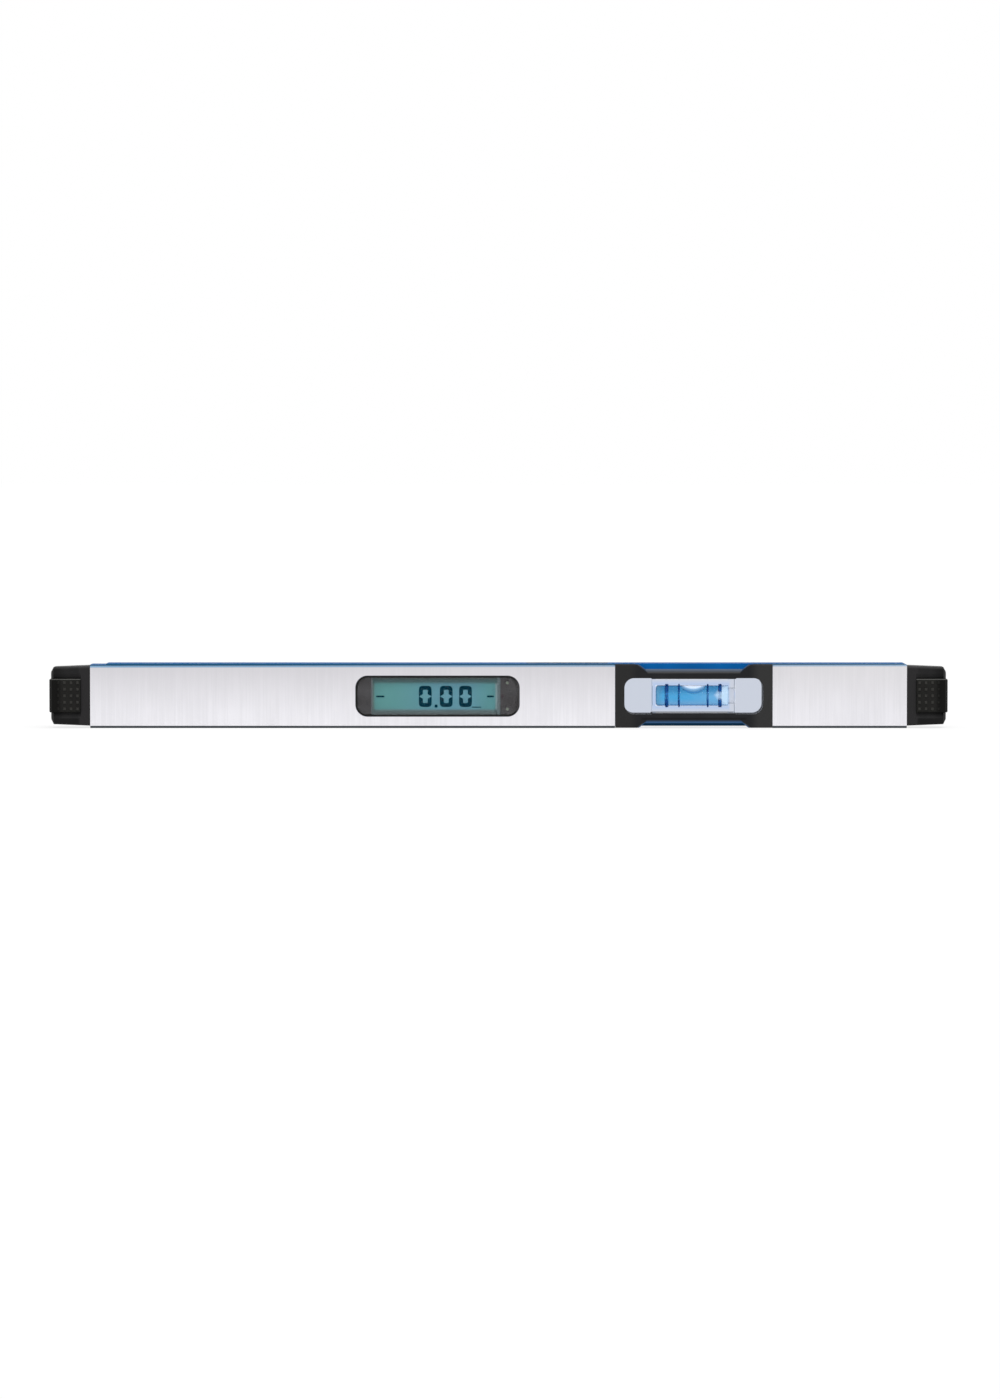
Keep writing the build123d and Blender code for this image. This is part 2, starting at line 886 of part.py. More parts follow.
def make_keypad_frame():
    flange = tile(
        keypad_center, 0, keypad_length, keypad_width, keypad_corner, core_top, body_height
    )
    frame = flange + keypad_hole(0, key_board_top, core_top)
    frame -= tile(
        keypad_center, 0, key_cavity_length, key_cavity_width, key_corner, key_board_top, key_ceiling
    )
    for x in key_places():
        frame -= tile(
            x, 0, key_length + 2 * insert_gap, key_width + 2 * insert_gap, key_corner,
            key_ceiling, body_height,
        )
    for x in keypad_screw_places():
        frame -= rod_z(x, 0, keypad_screw_radius, key_board_top, key_ceiling)
    return frame


def make_button(index):
    x = key_places()[index]
    top = body_height - key_recess
    cap = tile(x, 0, key_length, key_width, key_corner, key_skirt_bottom, top)
    cap = fillet(cap.edges().group_by(Axis.Z)[-1], key_recess)
    skirt = tile(
        x, 0, key_length + 2 * key_skirt, key_width + 2 * key_skirt, key_corner,
        key_skirt_bottom, key_skirt_bottom + key_skirt_thickness,
    )
    return cap + skirt + rod_z(x, 0, key_stem_radius, key_stem_bottom, key_skirt_bottom)


def make_dome(index):
    x = key_places()[index]
    profile = [
        Plane.XY.offset(key_board_top) * Pos(x, 0) * Circle(dome_radius),
        Plane.XY.offset(key_board_top + dome_height) * Pos(x, 0) * Circle(dome_top_radius),
    ]
    return loft(profile, ruled=True)


def make_key_board():
    board = keypad_hole(0, key_board_bottom, key_board_top)
    for x in keypad_screw_places():
        board -= rod_z(x, 0, keypad_screw_radius + slip_gap, key_board_bottom, key_board_top)
    return board


def make_keypad_screws():
    head_bottom = key_board_bottom - keypad_screw_head_height
    screws = []
    for x in keypad_screw_places():
        head = rod_z(x, 0, keypad_screw_head_radius, head_bottom, key_board_bottom)
        shank = rod_z(x, 0, keypad_screw_radius - seat_gap, key_board_bottom, key_ceiling - slip_gap)
        slot = block(
            (x - keypad_screw_head_radius, x + keypad_screw_head_radius),
            (-keypad_screw_slot / 2, keypad_screw_slot / 2),
            (head_bottom, head_bottom + keypad_screw_slot),
        )
        screws.append(head + shank - slot)
    return group(screws)


def make_keypad_flex():
    top = key_board_bottom - flex_thickness / 2
    drop_y = board_back + flex_standoff
    route = FilletPolyline(
        (drop_y + flex_lap, top), (drop_y, top), (drop_y, flex_socket_top), radius=flex_bend_radius
    )
    ribbon = trace(route, flex_thickness)
    return extrude(Plane.YZ.offset(flex_left) * ribbon, flex_width)


# Battery compartment

def make_battery_tray():
    tray = slab(battery_outline(battery_length, battery_height), core_y, side_y)
    tray += slab(battery_outline(tray_length, tray_height), tray_back, core_y)
    tray -= slab(
        battery_outline(door_length + 2 * insert_gap, door_height + 2 * insert_gap), door_seat, side_y
    )
    tray -= block(
        (battery_center - tray_cavity_length / 2, battery_center + tray_cavity_length / 2),
        (tray_floor, door_seat),
        (mid_z - tray_cavity_height / 2, mid_z + tray_cavity_height / 2),
    )
    hole_end = door_seat - door_screw_reach - slip_gap
    for x in door_screw_places():
        tray -= rod_y(x, mid_z, door_screw_radius + slip_gap, hole_end, door_seat)
    return tray


def cell(side):
    """One AAA cell, above (1) or below (-1) the other and facing the other way."""
    z = mid_z + side * (cell_radius + cell_spacing / 2)
    y = tray_floor + cell_radius + seat_gap
    tip = battery_center + side * cell_length / 2
    shoulder = tip - side * cell_nub_length
    tail = battery_center - side * cell_length / 2
    can = rod_x(y, z, cell_radius, min(shoulder, tail), max(shoulder, tail))
    can = fillet(can.edges().filter_by(GeomType.CIRCLE), cell_spacing)
    return can + rod_x(y, z, cell_nub_radius, min(shoulder, tip), max(shoulder, tip))


def make_battery_cells():
    return group([cell(-1), cell(1)])


def contact_leaf(end, side):
    """One sprung leaf between a cell and the end wall of the tray."""
    wall_x = battery_center + end * tray_cavity_length / 2
    z = mid_z + side * (cell_radius + cell_spacing / 2)
    foot = wall_x - end * contact_thickness
    crown = wall_x - end * (contact_room - contact_thickness)
    leaf = trace(
        Polyline((foot, z - contact_height / 2), (crown, z), (foot, z + contact_height / 2)),
        contact_thickness,
    )
    y = tray_floor + cell_radius
    return slab(leaf, y - contact_width / 2, y + contact_width / 2)


def make_battery_contacts():
    return group([contact_leaf(end, side) for end in (-1, 1) for side in (-1, 1)])


def make_battery_door():
    inside = door_seat + seal_thickness
    door = slab(battery_outline(door_length, door_height), inside, side_y)
    for x in door_screw_places():
        door -= rod_y(x, mid_z, door_screw_radius + slip_gap, inside, side_y)
        sink = side_y - door_screw_head_height - slip_gap
        door -= rod_y(x, mid_z, door_screw_head_radius + slip_gap, sink, side_y)
    return door


def make_door_seal():
    outer = battery_outline(
        tray_cavity_length + 2 * seal_width + cell_room, tray_cavity_height + 2 * seal_width + cell_room
    )
    inner = battery_outline(tray_cavity_length + cell_room, tray_cavity_height + cell_room)
    return slab(outer - inner, door_seat + seat_gap, door_seat + seal_thickness)


def make_door_screw(index):
    x = door_screw_places()[index]
    seat = side_y - door_screw_head_height - slip_gap
    top = seat + door_screw_head_height
    head = rod_y(x, mid_z, door_screw_head_radius, seat, top)
    shank = rod_y(x, mid_z, door_screw_radius, door_seat - door_screw_reach, seat)
    slot = block(
        (x - door_screw_head_radius, x + door_screw_head_radius),
        (top - door_screw_slot_depth, top),
        (mid_z - door_screw_slot / 2, mid_z + door_screw_slot / 2),
    )
    return head + shank - slot


def corner_radii(points):
    """The largest even bend at each corner of a lead's route."""
    runs = [Vector(after) - Vector(before) for before, after in zip(points, points[1:])]
    radii = []
    for before, after in zip(runs, runs[1:]):
        half_turn = math.radians(before.get_angle(after)) / 2
        radii.append(lead_bend_share * min(before.length, after.length) / math.tan(half_turn))
    return radii


def make_lead(side):
    """One battery lead, from the tray's end wall to the socket on the board."""
    start = battery_center + tray_length / 2
    quarter = (lead_end - start) / 4
    z = lead_z + side * lead_spacing / 2
    points = [
        (start, lead_y, z),
        (start + quarter, lead_y, z),
        (start + 2 * quarter, lead_y + lead_slack, z),
        (start + 3 * quarter, lead_y, z),
        (lead_end, lead_y, z),
    ]
    radii = corner_radii(points)
    print("lead bend radii", [round(radius, 1) for radius in radii])
    route = FilletPolyline(*points, radius=radii)
    return sweep(Plane(route @ 0, z_dir=route % 0) * Circle(lead_radius), path=route)


parts = {
    "box_profile": make_box_profile(),
    "jacket_left": make_jacket_left(),
    "jacket_right": make_jacket_right(),
    "top_rail": make_top_rail(),
    "end_cap_right": make_end_cap_right(),
    "end_cap_left": mirrored(make_end_cap_right()),
    "bumper_right": make_bumper_right(),
    "bumper_left": mirrored(make_bumper_right()),
    "vial_bezel_front": make_vial_bezel_front(),
    "vial_bezel_rear": make_vial_bezel_rear(),
    "vial_bezel_screws": make_vial_bezel_screws(),
    "vial_block": make_vial_block(),
    "vial_plug": make_vial_plug(),
    "vial_level_lines": make_ring_pair(level_line_spacing, level_line_width),
    "vial_slope_rings": make_ring_pair(slope_ring_spacing, slope_ring_width),
    "vial_liquid": make_vial_liquid(),
    "vial_bubble": make_vial_bubble(),
    "display_bezel": make_display_bezel(),
    "display_lens": make_display_lens(),
    "lcd_cell": make_lcd_cell(),
    "lcd_backlight": make_lcd_backlight(),
    "lcd_contact_strips": make_lcd_contact_strips(),
    "display_carrier": make_display_carrier(),
    "tilt_leds": make_tilt_leds(),
    "level_led": make_level_led(),
    "main_board": make_main_board(),
    "board_screws": make_board_screws(),
    "tilt_sensor": make_tilt_sensor(),
    "controller_chip": make_controller_chip(),
    "buzzer": make_buzzer(),
    "battery_socket": make_battery_socket(),
    "flex_socket": make_flex_socket(),
    "keypad_frame": make_keypad_frame(),
    "key_board": make_key_board(),
    "keypad_screws": make_keypad_screws(),
    "keypad_flex": make_keypad_flex(),
    "battery_tray": make_battery_tray(),
    "battery_cells": make_battery_cells(),
    "battery_contacts": make_battery_contacts(),
    "battery_door": make_battery_door(),
    "door_seal": make_door_seal(),
    "door_screw_left": make_door_screw(1),
    "door_screw_right": make_door_screw(0),
    "battery_lead_red": make_lead(1),
    "battery_lead_black": make_lead(-1),
}
for index, key in enumerate(("power", "mode", "hold", "zero")):
    parts["button_" + key] = make_button(index)
    parts["dome_" + key] = make_dome(index)

os.makedirs("parts", exist_ok=True)
for name, shape in parts.items():
    export_step(shape, "parts/" + name + ".step")
    print(name, round(shape.volume, 1))
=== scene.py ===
import bpy
import math
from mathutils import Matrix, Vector


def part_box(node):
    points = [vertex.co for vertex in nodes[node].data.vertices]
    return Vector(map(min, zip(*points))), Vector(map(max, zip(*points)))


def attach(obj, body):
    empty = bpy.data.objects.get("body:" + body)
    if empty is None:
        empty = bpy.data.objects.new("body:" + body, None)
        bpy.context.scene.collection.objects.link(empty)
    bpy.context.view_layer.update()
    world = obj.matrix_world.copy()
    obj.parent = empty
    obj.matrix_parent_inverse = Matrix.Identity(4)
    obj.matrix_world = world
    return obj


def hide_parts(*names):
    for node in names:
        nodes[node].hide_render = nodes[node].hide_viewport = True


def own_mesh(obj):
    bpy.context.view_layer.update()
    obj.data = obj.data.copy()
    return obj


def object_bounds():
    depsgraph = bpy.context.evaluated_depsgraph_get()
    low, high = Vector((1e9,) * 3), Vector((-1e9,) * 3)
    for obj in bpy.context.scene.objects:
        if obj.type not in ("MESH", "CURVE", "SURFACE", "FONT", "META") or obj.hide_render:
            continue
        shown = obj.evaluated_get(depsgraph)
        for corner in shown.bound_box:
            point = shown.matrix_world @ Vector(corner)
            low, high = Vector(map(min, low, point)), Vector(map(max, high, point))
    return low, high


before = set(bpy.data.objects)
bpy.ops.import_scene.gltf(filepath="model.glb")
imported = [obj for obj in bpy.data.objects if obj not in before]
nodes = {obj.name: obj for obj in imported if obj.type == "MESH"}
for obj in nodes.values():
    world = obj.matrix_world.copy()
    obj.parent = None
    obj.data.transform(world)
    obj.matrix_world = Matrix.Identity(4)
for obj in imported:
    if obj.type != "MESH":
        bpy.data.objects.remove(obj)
cadLow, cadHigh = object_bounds()
mm = 0.001
near = 0.01 * mm  # points closer than this count as one place
wallToTop = (0.4, 0.9)  # rise of a face's normal, from what counts as wall to what counts as top
black = (0.0, 0.0, 0.0, 1)
white = (1, 1, 1, 1)
print("frame loaded with", len(nodes), "nodes")


def tint(red, green, blue):  # screen values from 0 to 255, as linear light
    def linear(value):
        share = value / 255
        return share / 12.92 if share <= 0.04045 else ((share + 0.055) / 1.055) ** 2.4
    return (linear(red), linear(green), linear(blue), 1.0)


class Wire:  # a shader value that takes part in plain sums
    def __init__(self, bench, socket):
        self.bench = bench
        self.socket = socket

    def sums(self, operation, first, second=0.0):
        return self.bench.node("ShaderNodeMath", {"operation": operation}, {0: first, 1: second})

    def __add__(self, other):
        return self.sums("ADD", self, other)

    def __radd__(self, other):
        return self.sums("ADD", other, self)

    def __sub__(self, other):
        return self.sums("SUBTRACT", self, other)

    def __rsub__(self, other):
        return self.sums("SUBTRACT", other, self)

    def __mul__(self, other):
        return self.sums("MULTIPLY", self, other)

    def __rmul__(self, other):
        return self.sums("MULTIPLY", other, self)

    def __truediv__(self, other):
        return self.sums("DIVIDE", self, other)

    def __abs__(self):
        return self.sums("ABSOLUTE", self)

    def larger(self, other):
        return self.sums("MAXIMUM", self, other)

    def ease(self, low, high):  # 0 at low, 1 at high, smooth between
        sockets = {"Value": self, "From Min": low, "From Max": high}
        return self.bench.node("ShaderNodeMapRange", {"interpolation_type": "SMOOTHSTEP"}, sockets)

    def past(self, spot, blur):  # 0 before the spot, 1 after it
        return self.ease(spot - blur, spot + blur)

    def other(self, name):  # another output of the same node
        return Wire(self.bench, self.socket.node.outputs[name])


class Bench:  # the node tree of one material, or of the world
    def __init__(self, owner):
        self.owner = owner
        owner.use_nodes = True
        self.tree = owner.node_tree
        self.tree.nodes.clear()

    def node(self, kind, settings=None, sockets=None, output=0):
        made = self.tree.nodes.new(kind)
        for name, value in (settings or {}).items():
            setattr(made, name, value)
        for name, value in (sockets or {}).items():
            if isinstance(value, Wire):
                self.tree.links.new(value.socket, made.inputs[name])
            else:
                made.inputs[name].default_value = value
        return Wire(self, made.outputs[output]) if made.outputs else made

    def place(self):
        return self.node("ShaderNodeTexCoord", output="Object")

    def axes(self):  # x, y and z in metres
        x = self.node("ShaderNodeSeparateXYZ", {}, {0: self.place()})
        return x, x.other("Y"), x.other("Z")

    def upward(self):  # 1 on a face that looks up, 0 on a wall
        normal = self.node("ShaderNodeTexCoord", output="Normal")
        return self.node("ShaderNodeSeparateXYZ", {}, {0: normal}).other("Z").ease(*wallToTop)

    def noise(self, perMetre, stretch=(1, 1, 1), detail=2.0):
        spot = self.node("ShaderNodeMapping", {}, {"Vector": self.place(), "Scale": stretch})
        return self.node("ShaderNodeTexNoise", {}, {"Vector": spot, "Scale": perMetre, "Detail": detail})

    def mix(self, share, first, second):
        sockets = {0: share, 6: first, 7: second}
        return self.node("ShaderNodeMix", {"data_type": "RGBA"}, sockets, output=2)

    def bump(self, height, depth, strength):
        sockets = {"Height": height, "Distance": depth, "Strength": strength}
        return self.node("ShaderNodeBump", {}, sockets)

    def surface(self, sockets):
        shader = self.node("ShaderNodeBsdfPrincipled", {}, sockets)
        self.node("ShaderNodeOutputMaterial", {}, {"Surface": shader})
        return self.owner


def newBench(name):
    return Bench(bpy.data.materials.new(name))


def dress(material, *names):
    for name in names:
        nodes[name].data.materials.clear()
        nodes[name].data.materials.append(material)


# Camera: a long lens a little above the level
shot = {
    "focal": 135.0, "sensor": 36.0, "farthest": 200.0,
    "elevation": 2.5, "distance": 3.5,
    "aim": Vector((1.0 * mm, cadLow.y, 19.2 * mm)),
}


def makeCamera():
    tilt = math.radians(shot["elevation"])
    back = Vector((0, -math.cos(tilt), math.sin(tilt)))
    turn = (-back).to_track_quat("-Z", "Y").to_euler()
    bpy.ops.object.camera_add(location=shot["aim"] + back * shot["distance"], rotation=turn)
    camera = bpy.context.object
    camera.data.lens = shot["focal"]
    camera.data.sensor_width = shot["sensor"]
    camera.data.clip_end = shot["farthest"]
    bpy.context.scene.camera = camera


# Studio: white all round and one broad soft light from above the front
studio = {
    "skyLight": 0.55, "skySeen": 1.0,
    "floorSize": 120.0, "floorDrop": 0.05 * mm,
    "floorColour": (0.18, 0.18, 0.18, 1), "floorRoughness": 0.9, "floorGlow": 0.77,
    "sunWatts": 2.6, "sunSpread": 52.0, "sunHeight": 74.0, "sunTurn": 25.0, "sunDistance": 2.0,
}


def seenShare(bench):  # 1 for what the camera sees straight, in gloss or through glass
    path = bench.node("ShaderNodeLightPath", output="Is Camera Ray")
    return path.larger(path.other("Is Glossy Ray")).larger(path.other("Is Transmission Ray"))


def makeSky():
    scene = bpy.context.scene
    scene.view_settings.view_transform = "Standard"
    scene.world = bpy.data.worlds.new("studioSky")
    sky = Bench(scene.world)
    strength = studio["skyLight"] + seenShare(sky) * (studio["skySeen"] - studio["skyLight"])
    glow = sky.node("ShaderNodeBackground", {}, {"Color": white, "Strength": strength})
    sky.node("ShaderNodeOutputWorld", {}, {"Surface": glow})


def makeFloor():
    bpy.ops.mesh.primitive_plane_add(size=studio["floorSize"], location=(0, 0, -studio["floorDrop"]))
    floor = bpy.context.object
    floor.name = "studioFloor"
    floor.data.materials.append(newBench("floorPaper").surface({
        "Base Color": studio["floorColour"],
        "Roughness": studio["floorRoughness"], "Specular IOR Level": 0.0,
        "Emission Color": white, "Emission Strength": studio["floorGlow"],
    }))


def makeSun():
    height = math.radians(studio["sunHeight"])
    turn = math.radians(studio["sunTurn"])
    outward = math.cos(height)
    away = Vector((math.sin(turn) * outward, -math.cos(turn) * outward, math.sin(height)))
    facing = away.to_track_quat("Z", "Y").to_euler()
    bpy.ops.object.light_add(type="SUN", location=away * studio["sunDistance"], rotation=facing)
    sun = bpy.context.object.data
    sun.energy = studio["sunWatts"]
    sun.angle = math.radians(studio["sunSpread"])


makeCamera()
makeSky()
makeFloor()
makeSun()
print("camera and studio set")


# Jacket: sheet brushed across its length, clear anodised, with a dark edge along the base
jacketSheet = {
    # painted shade: the sheet is darker towards the top, and more on the left than on the right
    "leftLower": (0.855, 0.845, 0.885, 1), "leftUpper": (0.635, 0.62, 0.65, 1),
    "rightLower": (0.82, 0.81, 0.85, 1), "rightUpper": (0.72, 0.705, 0.725, 1),
    "lowToHigh": (2 * mm, 52 * mm), "leftToRight": (100 * mm, 260 * mm),
    "brushPerMetre": 2600, "brushAlong": 0.012, "brushShare": 0.25,
    "bandsPerMetre": 620, "bandsAlong": 0.03, "bandsShare": 0.4,
    "cloudsPerMetre": 45, "cloudsAlong": 0.6, "cloudsShare": 0.35,
    "markDetail": 3.0, "brushDepth": 0.006 * mm, "brushBump": 0.5,
    "dull": (0.58, 0.575, 0.60, 1), "dulled": (0.38, 0.62), "dullShare": 0.25,
    # painted reflection of the blue rail along the jacket's top edge
    "rim": tint(128, 166, 198), "rimReach": 1.2 * mm, "rimSlope": 0.0018,
    "dark": tint(70, 75, 80), "darkTop": 1.6 * mm, "darkBlur": 0.1 * mm,
    "roughness": 0.32, "roughnessSpread": 0.12, "shine": 0.05,
}


def brushedSheet():
    look = jacketSheet
    bench = newBench("brushedSheet")
    x, _, z = bench.axes()
    brush = bench.noise(look["brushPerMetre"], (1, 1, look["brushAlong"]), look["markDetail"])
    bands = bench.noise(look["bandsPerMetre"], (1, 1, look["bandsAlong"]), look["markDetail"])
    clouds = bench.noise(look["cloudsPerMetre"], (1, 1, look["cloudsAlong"]), look["markDetail"])
    # painted shade, darker towards the top
    height = z.ease(*look["lowToHigh"])
    left = bench.mix(height, look["leftLower"], look["leftUpper"])
    right = bench.mix(height, look["rightLower"], look["rightUpper"])
    paintedShadeSheet = bench.mix(x.ease(*look["leftToRight"]), left, right)
    marks = look["brushShare"] * brush + look["bandsShare"] * bands + look["cloudsShare"] * clouds
    worn = bench.mix(marks.ease(*look["dulled"]) * look["dullShare"], paintedShadeSheet, look["dull"])
    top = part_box("jacket_left")[1].z
    # painted reflection of the rail, on the walls just under the top edge
    nearTopReflection = (z - x * look["rimSlope"]).ease(top - look["rimReach"], top)
    railReflected = bench.mix(nearTopReflection * (1 - bench.upward()), worn, look["rim"])
    aboveEdge = z.past(look["darkTop"], look["darkBlur"])
    return bench.surface({
        "Base Color": bench.mix(aboveEdge, look["dark"], railReflected),
        "Metallic": aboveEdge, "Specular IOR Level": look["shine"],
        "Roughness": look["roughness"] + brush * look["roughnessSpread"],
        "Normal": bench.bump(brush, look["brushDepth"], look["brushBump"]),
    })


# Core and rail: powder coat with a slight orange peel, greyer on the walls above the jacket
blueCoat = {
    "bright": tint(2, 94, 164), "deep": tint(1, 84, 150), "cloudsPerMetre": 40, "clouds": (0.3, 0.7),
    "shadow": tint(0, 42, 68), "shadowFade": (3 * mm, 5 * mm),
    # painted shade: faces that look up are darkened towards this blue
    "upper": tint(6, 74, 126), "paintedTopShadeShare": 0.7,
    "wallLeft": tint(36, 86, 120), "wallRight": tint(60, 92, 116), "leftToRight": (-200 * mm, 220 * mm),
    "wallStart": 0.3 * mm, "mouth": (37.5 * mm, 40.5 * mm),
    # painted highlight, pale blue, along the foot of the walls just above the jacket
    "foot": tint(150, 178, 202), "footReach": 0.6 * mm, "footSlope": 0.0014,
    "overBezel": tint(34, 58, 82), "bezelBlur": 0.5 * mm,
    "peelPerMetre": 1500, "peelDepth": 0.02 * mm, "peelBump": 0.5,
    "roughness": 0.42, "roughnessSpread": 0.12, "shine": 0.06,
}


def powderCoat():
    look = blueCoat
    bench = newBench("powderCoat")
    bayLow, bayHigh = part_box("vial_bezel_front")
    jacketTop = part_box("jacket_left")[1].z
    x, _, z = bench.axes()
    peel = bench.noise(look["peelPerMetre"])
    clouds = bench.noise(look["cloudsPerMetre"])
    coat = bench.mix(clouds.ease(*look["clouds"]), look["deep"], look["bright"])
    shaded = bench.mix(z.ease(*look["shadowFade"]), look["shadow"], coat)
    # painted shade on the faces that look up
    upward = bench.upward()
    paintedLightTone = bench.mix(upward * look["paintedTopShadeShare"], shaded, look["upper"])
    wall = bench.mix(x.ease(*look["leftToRight"]), look["wallLeft"], look["wallRight"])
    # painted highlight at the foot of the walls
    aboveFoot = (z - x * look["footSlope"]).ease(jacketTop, jacketTop + look["footReach"])
    footed = bench.mix(aboveFoot, look["foot"], wall)
    fromBay = abs(x - (bayLow.x + bayHigh.x) / 2)
    besideBezel = fromBay.past((bayHigh.x - bayLow.x) / 2, look["bezelBlur"])
    strip = bench.mix(besideBezel, look["overBezel"], footed)
    aboveJacket = z.ease(jacketTop - look["wallStart"], jacketTop)
    onStrip = aboveJacket * fromBay.ease(*look["mouth"]) * (1 - upward)
    return bench.surface({
        "Base Color": bench.mix(onStrip, paintedLightTone, strip),
        "Roughness": look["roughness"] + peel * look["roughnessSpread"],
        "Specular IOR Level": look["shine"],
        "Normal": bench.bump(peel, look["peelDepth"], look["peelBump"]),
    })


# Mouldings: each with its own colour, sheen and spark grain
mouldings = {
    "doorPlastic": {"colour": tint(30, 30, 33), "worn": tint(42, 42, 45),
                    "roughness": 0.55, "shine": 0.3, "grain": 2400, "depth": 0.03 * mm},
    "keyPanel": {"colour": tint(16, 40, 66), "worn": tint(24, 50, 78),
                 "roughness": 0.55, "shine": 0.3, "grain": 2400, "depth": 0.03 * mm},
    "trayPlastic": {"colour": tint(34, 34, 37), "worn": tint(44, 44, 47),
                    "roughness": 0.6, "shine": 0.3, "grain": 1800, "depth": 0.02 * mm},
    "keyGrey": {"colour": tint(74, 76, 80), "worn": tint(92, 94, 98),
                "roughness": 0.68, "shine": 0.3, "grain": 3000, "depth": 0.015 * mm},
    "keyBlue": {"colour": tint(18, 86, 150), "worn": tint(34, 104, 168),
                "roughness": 0.66, "shine": 0.3, "grain": 3000, "depth": 0.015 * mm},
    "domeSilicone": {"colour": tint(196, 194, 188), "worn": tint(216, 214, 208),
                     "roughness": 0.5, "shine": 0.4, "grain": 2000, "depth": 0.01 * mm},
    "socketNylon": {"colour": tint(222, 214, 196), "worn": tint(234, 228, 212),
                    "roughness": 0.5, "shine": 0.4, "grain": 1800, "depth": 0.01 * mm},
    "chipPlastic": {"colour": tint(30, 30, 32), "worn": tint(46, 46, 48),
                    "roughness": 0.62, "shine": 0.35, "grain": 5200, "depth": 0.01 * mm},
    "sealFoam": {"colour": tint(24, 24, 25), "worn": tint(44, 44, 45),
                 "roughness": 0.9, "shine": 0.15, "grain": 4200, "depth": 0.05 * mm},
    "boardGreen": {"colour": tint(14, 92, 56), "worn": tint(24, 116, 72),
                   "roughness": 0.4, "shine": 0.5, "grain": 900, "depth": 0.01 * mm},
    "lightGuide": {"colour": tint(226, 230, 226), "worn": tint(240, 242, 240),
                   "roughness": 0.3, "shine": 0.5, "grain": 600, "depth": 0.005 * mm},
    "flexAmber": {"colour": tint(150, 84, 18), "worn": tint(188, 112, 30),
                  "roughness": 0.32, "shine": 0.5, "grain": 1200, "depth": 0.005 * mm},
    "leadRed": {"colour": tint(160, 20, 18), "worn": tint(184, 34, 28),
                "roughness": 0.45, "shine": 0.45, "grain": 1600, "depth": 0.005 * mm},
    "leadBlack": {"colour": tint(20, 20, 20), "worn": tint(32, 32, 32),
                  "roughness": 0.45, "shine": 0.45, "grain": 1600, "depth": 0.005 * mm},
}

# Wear that the mouldings share: rubbed patches, broken up by the grain
wear = {
    "rubPerMetre": 120, "rubDetail": 4.0, "rubShare": 0.6, "grainDetail": 3.0, "grainShare": 0.4,
    "rubbed": (0.4, 0.72), "roughnessSpread": 0.16, "grainBump": 0.7,
}


def wornSkin(bench, look):  # colour, roughness and relief
    grain = bench.noise(look["grain"], detail=wear["grainDetail"])
    rub = bench.noise(wear["rubPerMetre"], detail=wear["rubDetail"])
    patches = wear["rubShare"] * rub + wear["grainShare"] * grain
    colour = bench.mix(patches.ease(*wear["rubbed"]), look["colour"], look["worn"])
    roughness = look["roughness"] + (rub - 0.5) * wear["roughnessSpread"]
    return colour, roughness, bench.bump(grain, look["depth"], wear["grainBump"])


def moulded(name):
    look = mouldings[name]
    bench = newBench(name)
    colour, roughness, relief = wornSkin(bench, look)
    return bench.surface({
        "Base Color": colour, "Roughness": roughness,
        "Specular IOR Level": look["shine"], "Normal": relief,
    })


# End caps: a paler collar, with painted shade that darkens them below the pads and towards the tips
capLook = {
    "colour": tint(28, 28, 29), "worn": tint(36, 35, 35),
    "roughness": 0.5, "shine": 0.12, "grain": 2400, "depth": 0.03 * mm,
    "collar": tint(38, 37, 38), "collarEnd": (279 * mm, 281 * mm),
    "shade": tint(9, 9, 9), "shadeShare": 0.75,
    "belowPad": (5.8 * mm, 7.0 * mm), "tip": (288 * mm, 296 * mm),
}


def capPlastic():
    look = capLook
    bench = newBench("capPlastic")
    x, _, z = bench.axes()
    colour, roughness, relief = wornSkin(bench, look)
    beyond = abs(x).ease(*look["collarEnd"])
    collared = bench.mix(beyond, look["collar"], colour)
    low = beyond * (1 - z.ease(*look["belowPad"]))
    tip = abs(x).ease(*look["tip"])
    return bench.surface({
        "Base Color": bench.mix(low.larger(tip) * look["shadeShare"], collared, look["shade"]),
        "Roughness": roughness, "Specular IOR Level": look["shine"], "Normal": relief,
    })


# Vial bezels: black plastic with painted light on the sides, which are paler, painted highlights on the
# upper bevels of their notches and a painted blue reflection on the lower ones
bezelLook = {
    "colour": tint(20, 21, 24), "worn": tint(28, 29, 32),
    "roughness": 0.45, "shine": 0.17, "grain": 2600, "depth": 0.025 * mm,
    # painted light: the sides are paler, the right more than the left
    "left": tint(34, 34, 34), "right": tint(44, 44, 44), "sideStart": 16 * mm, "sideFull": 8 * mm,
    # painted highlight on the upper bevels, painted reflection of the blue core on the lower ones
    "bevel": tint(66, 80, 100), "lowBevelBlueReflection": tint(52, 92, 136), "bevelDepth": (0.3 * mm, 2.2 * mm),
    "barHalf": 14.0 * mm, "barBlur": 0.4 * mm, "mouthHalf": 35.0 * mm, "blur": 1 * mm,
    # painted shade along the lower edge of the bar, inside the mouth
    "underBar": tint(2, 3, 5), "underBarShare": 0.9,
    "underBarAt": 6.3 * mm, "underBarFade": (0.2 * mm, 1.2 * mm),
}


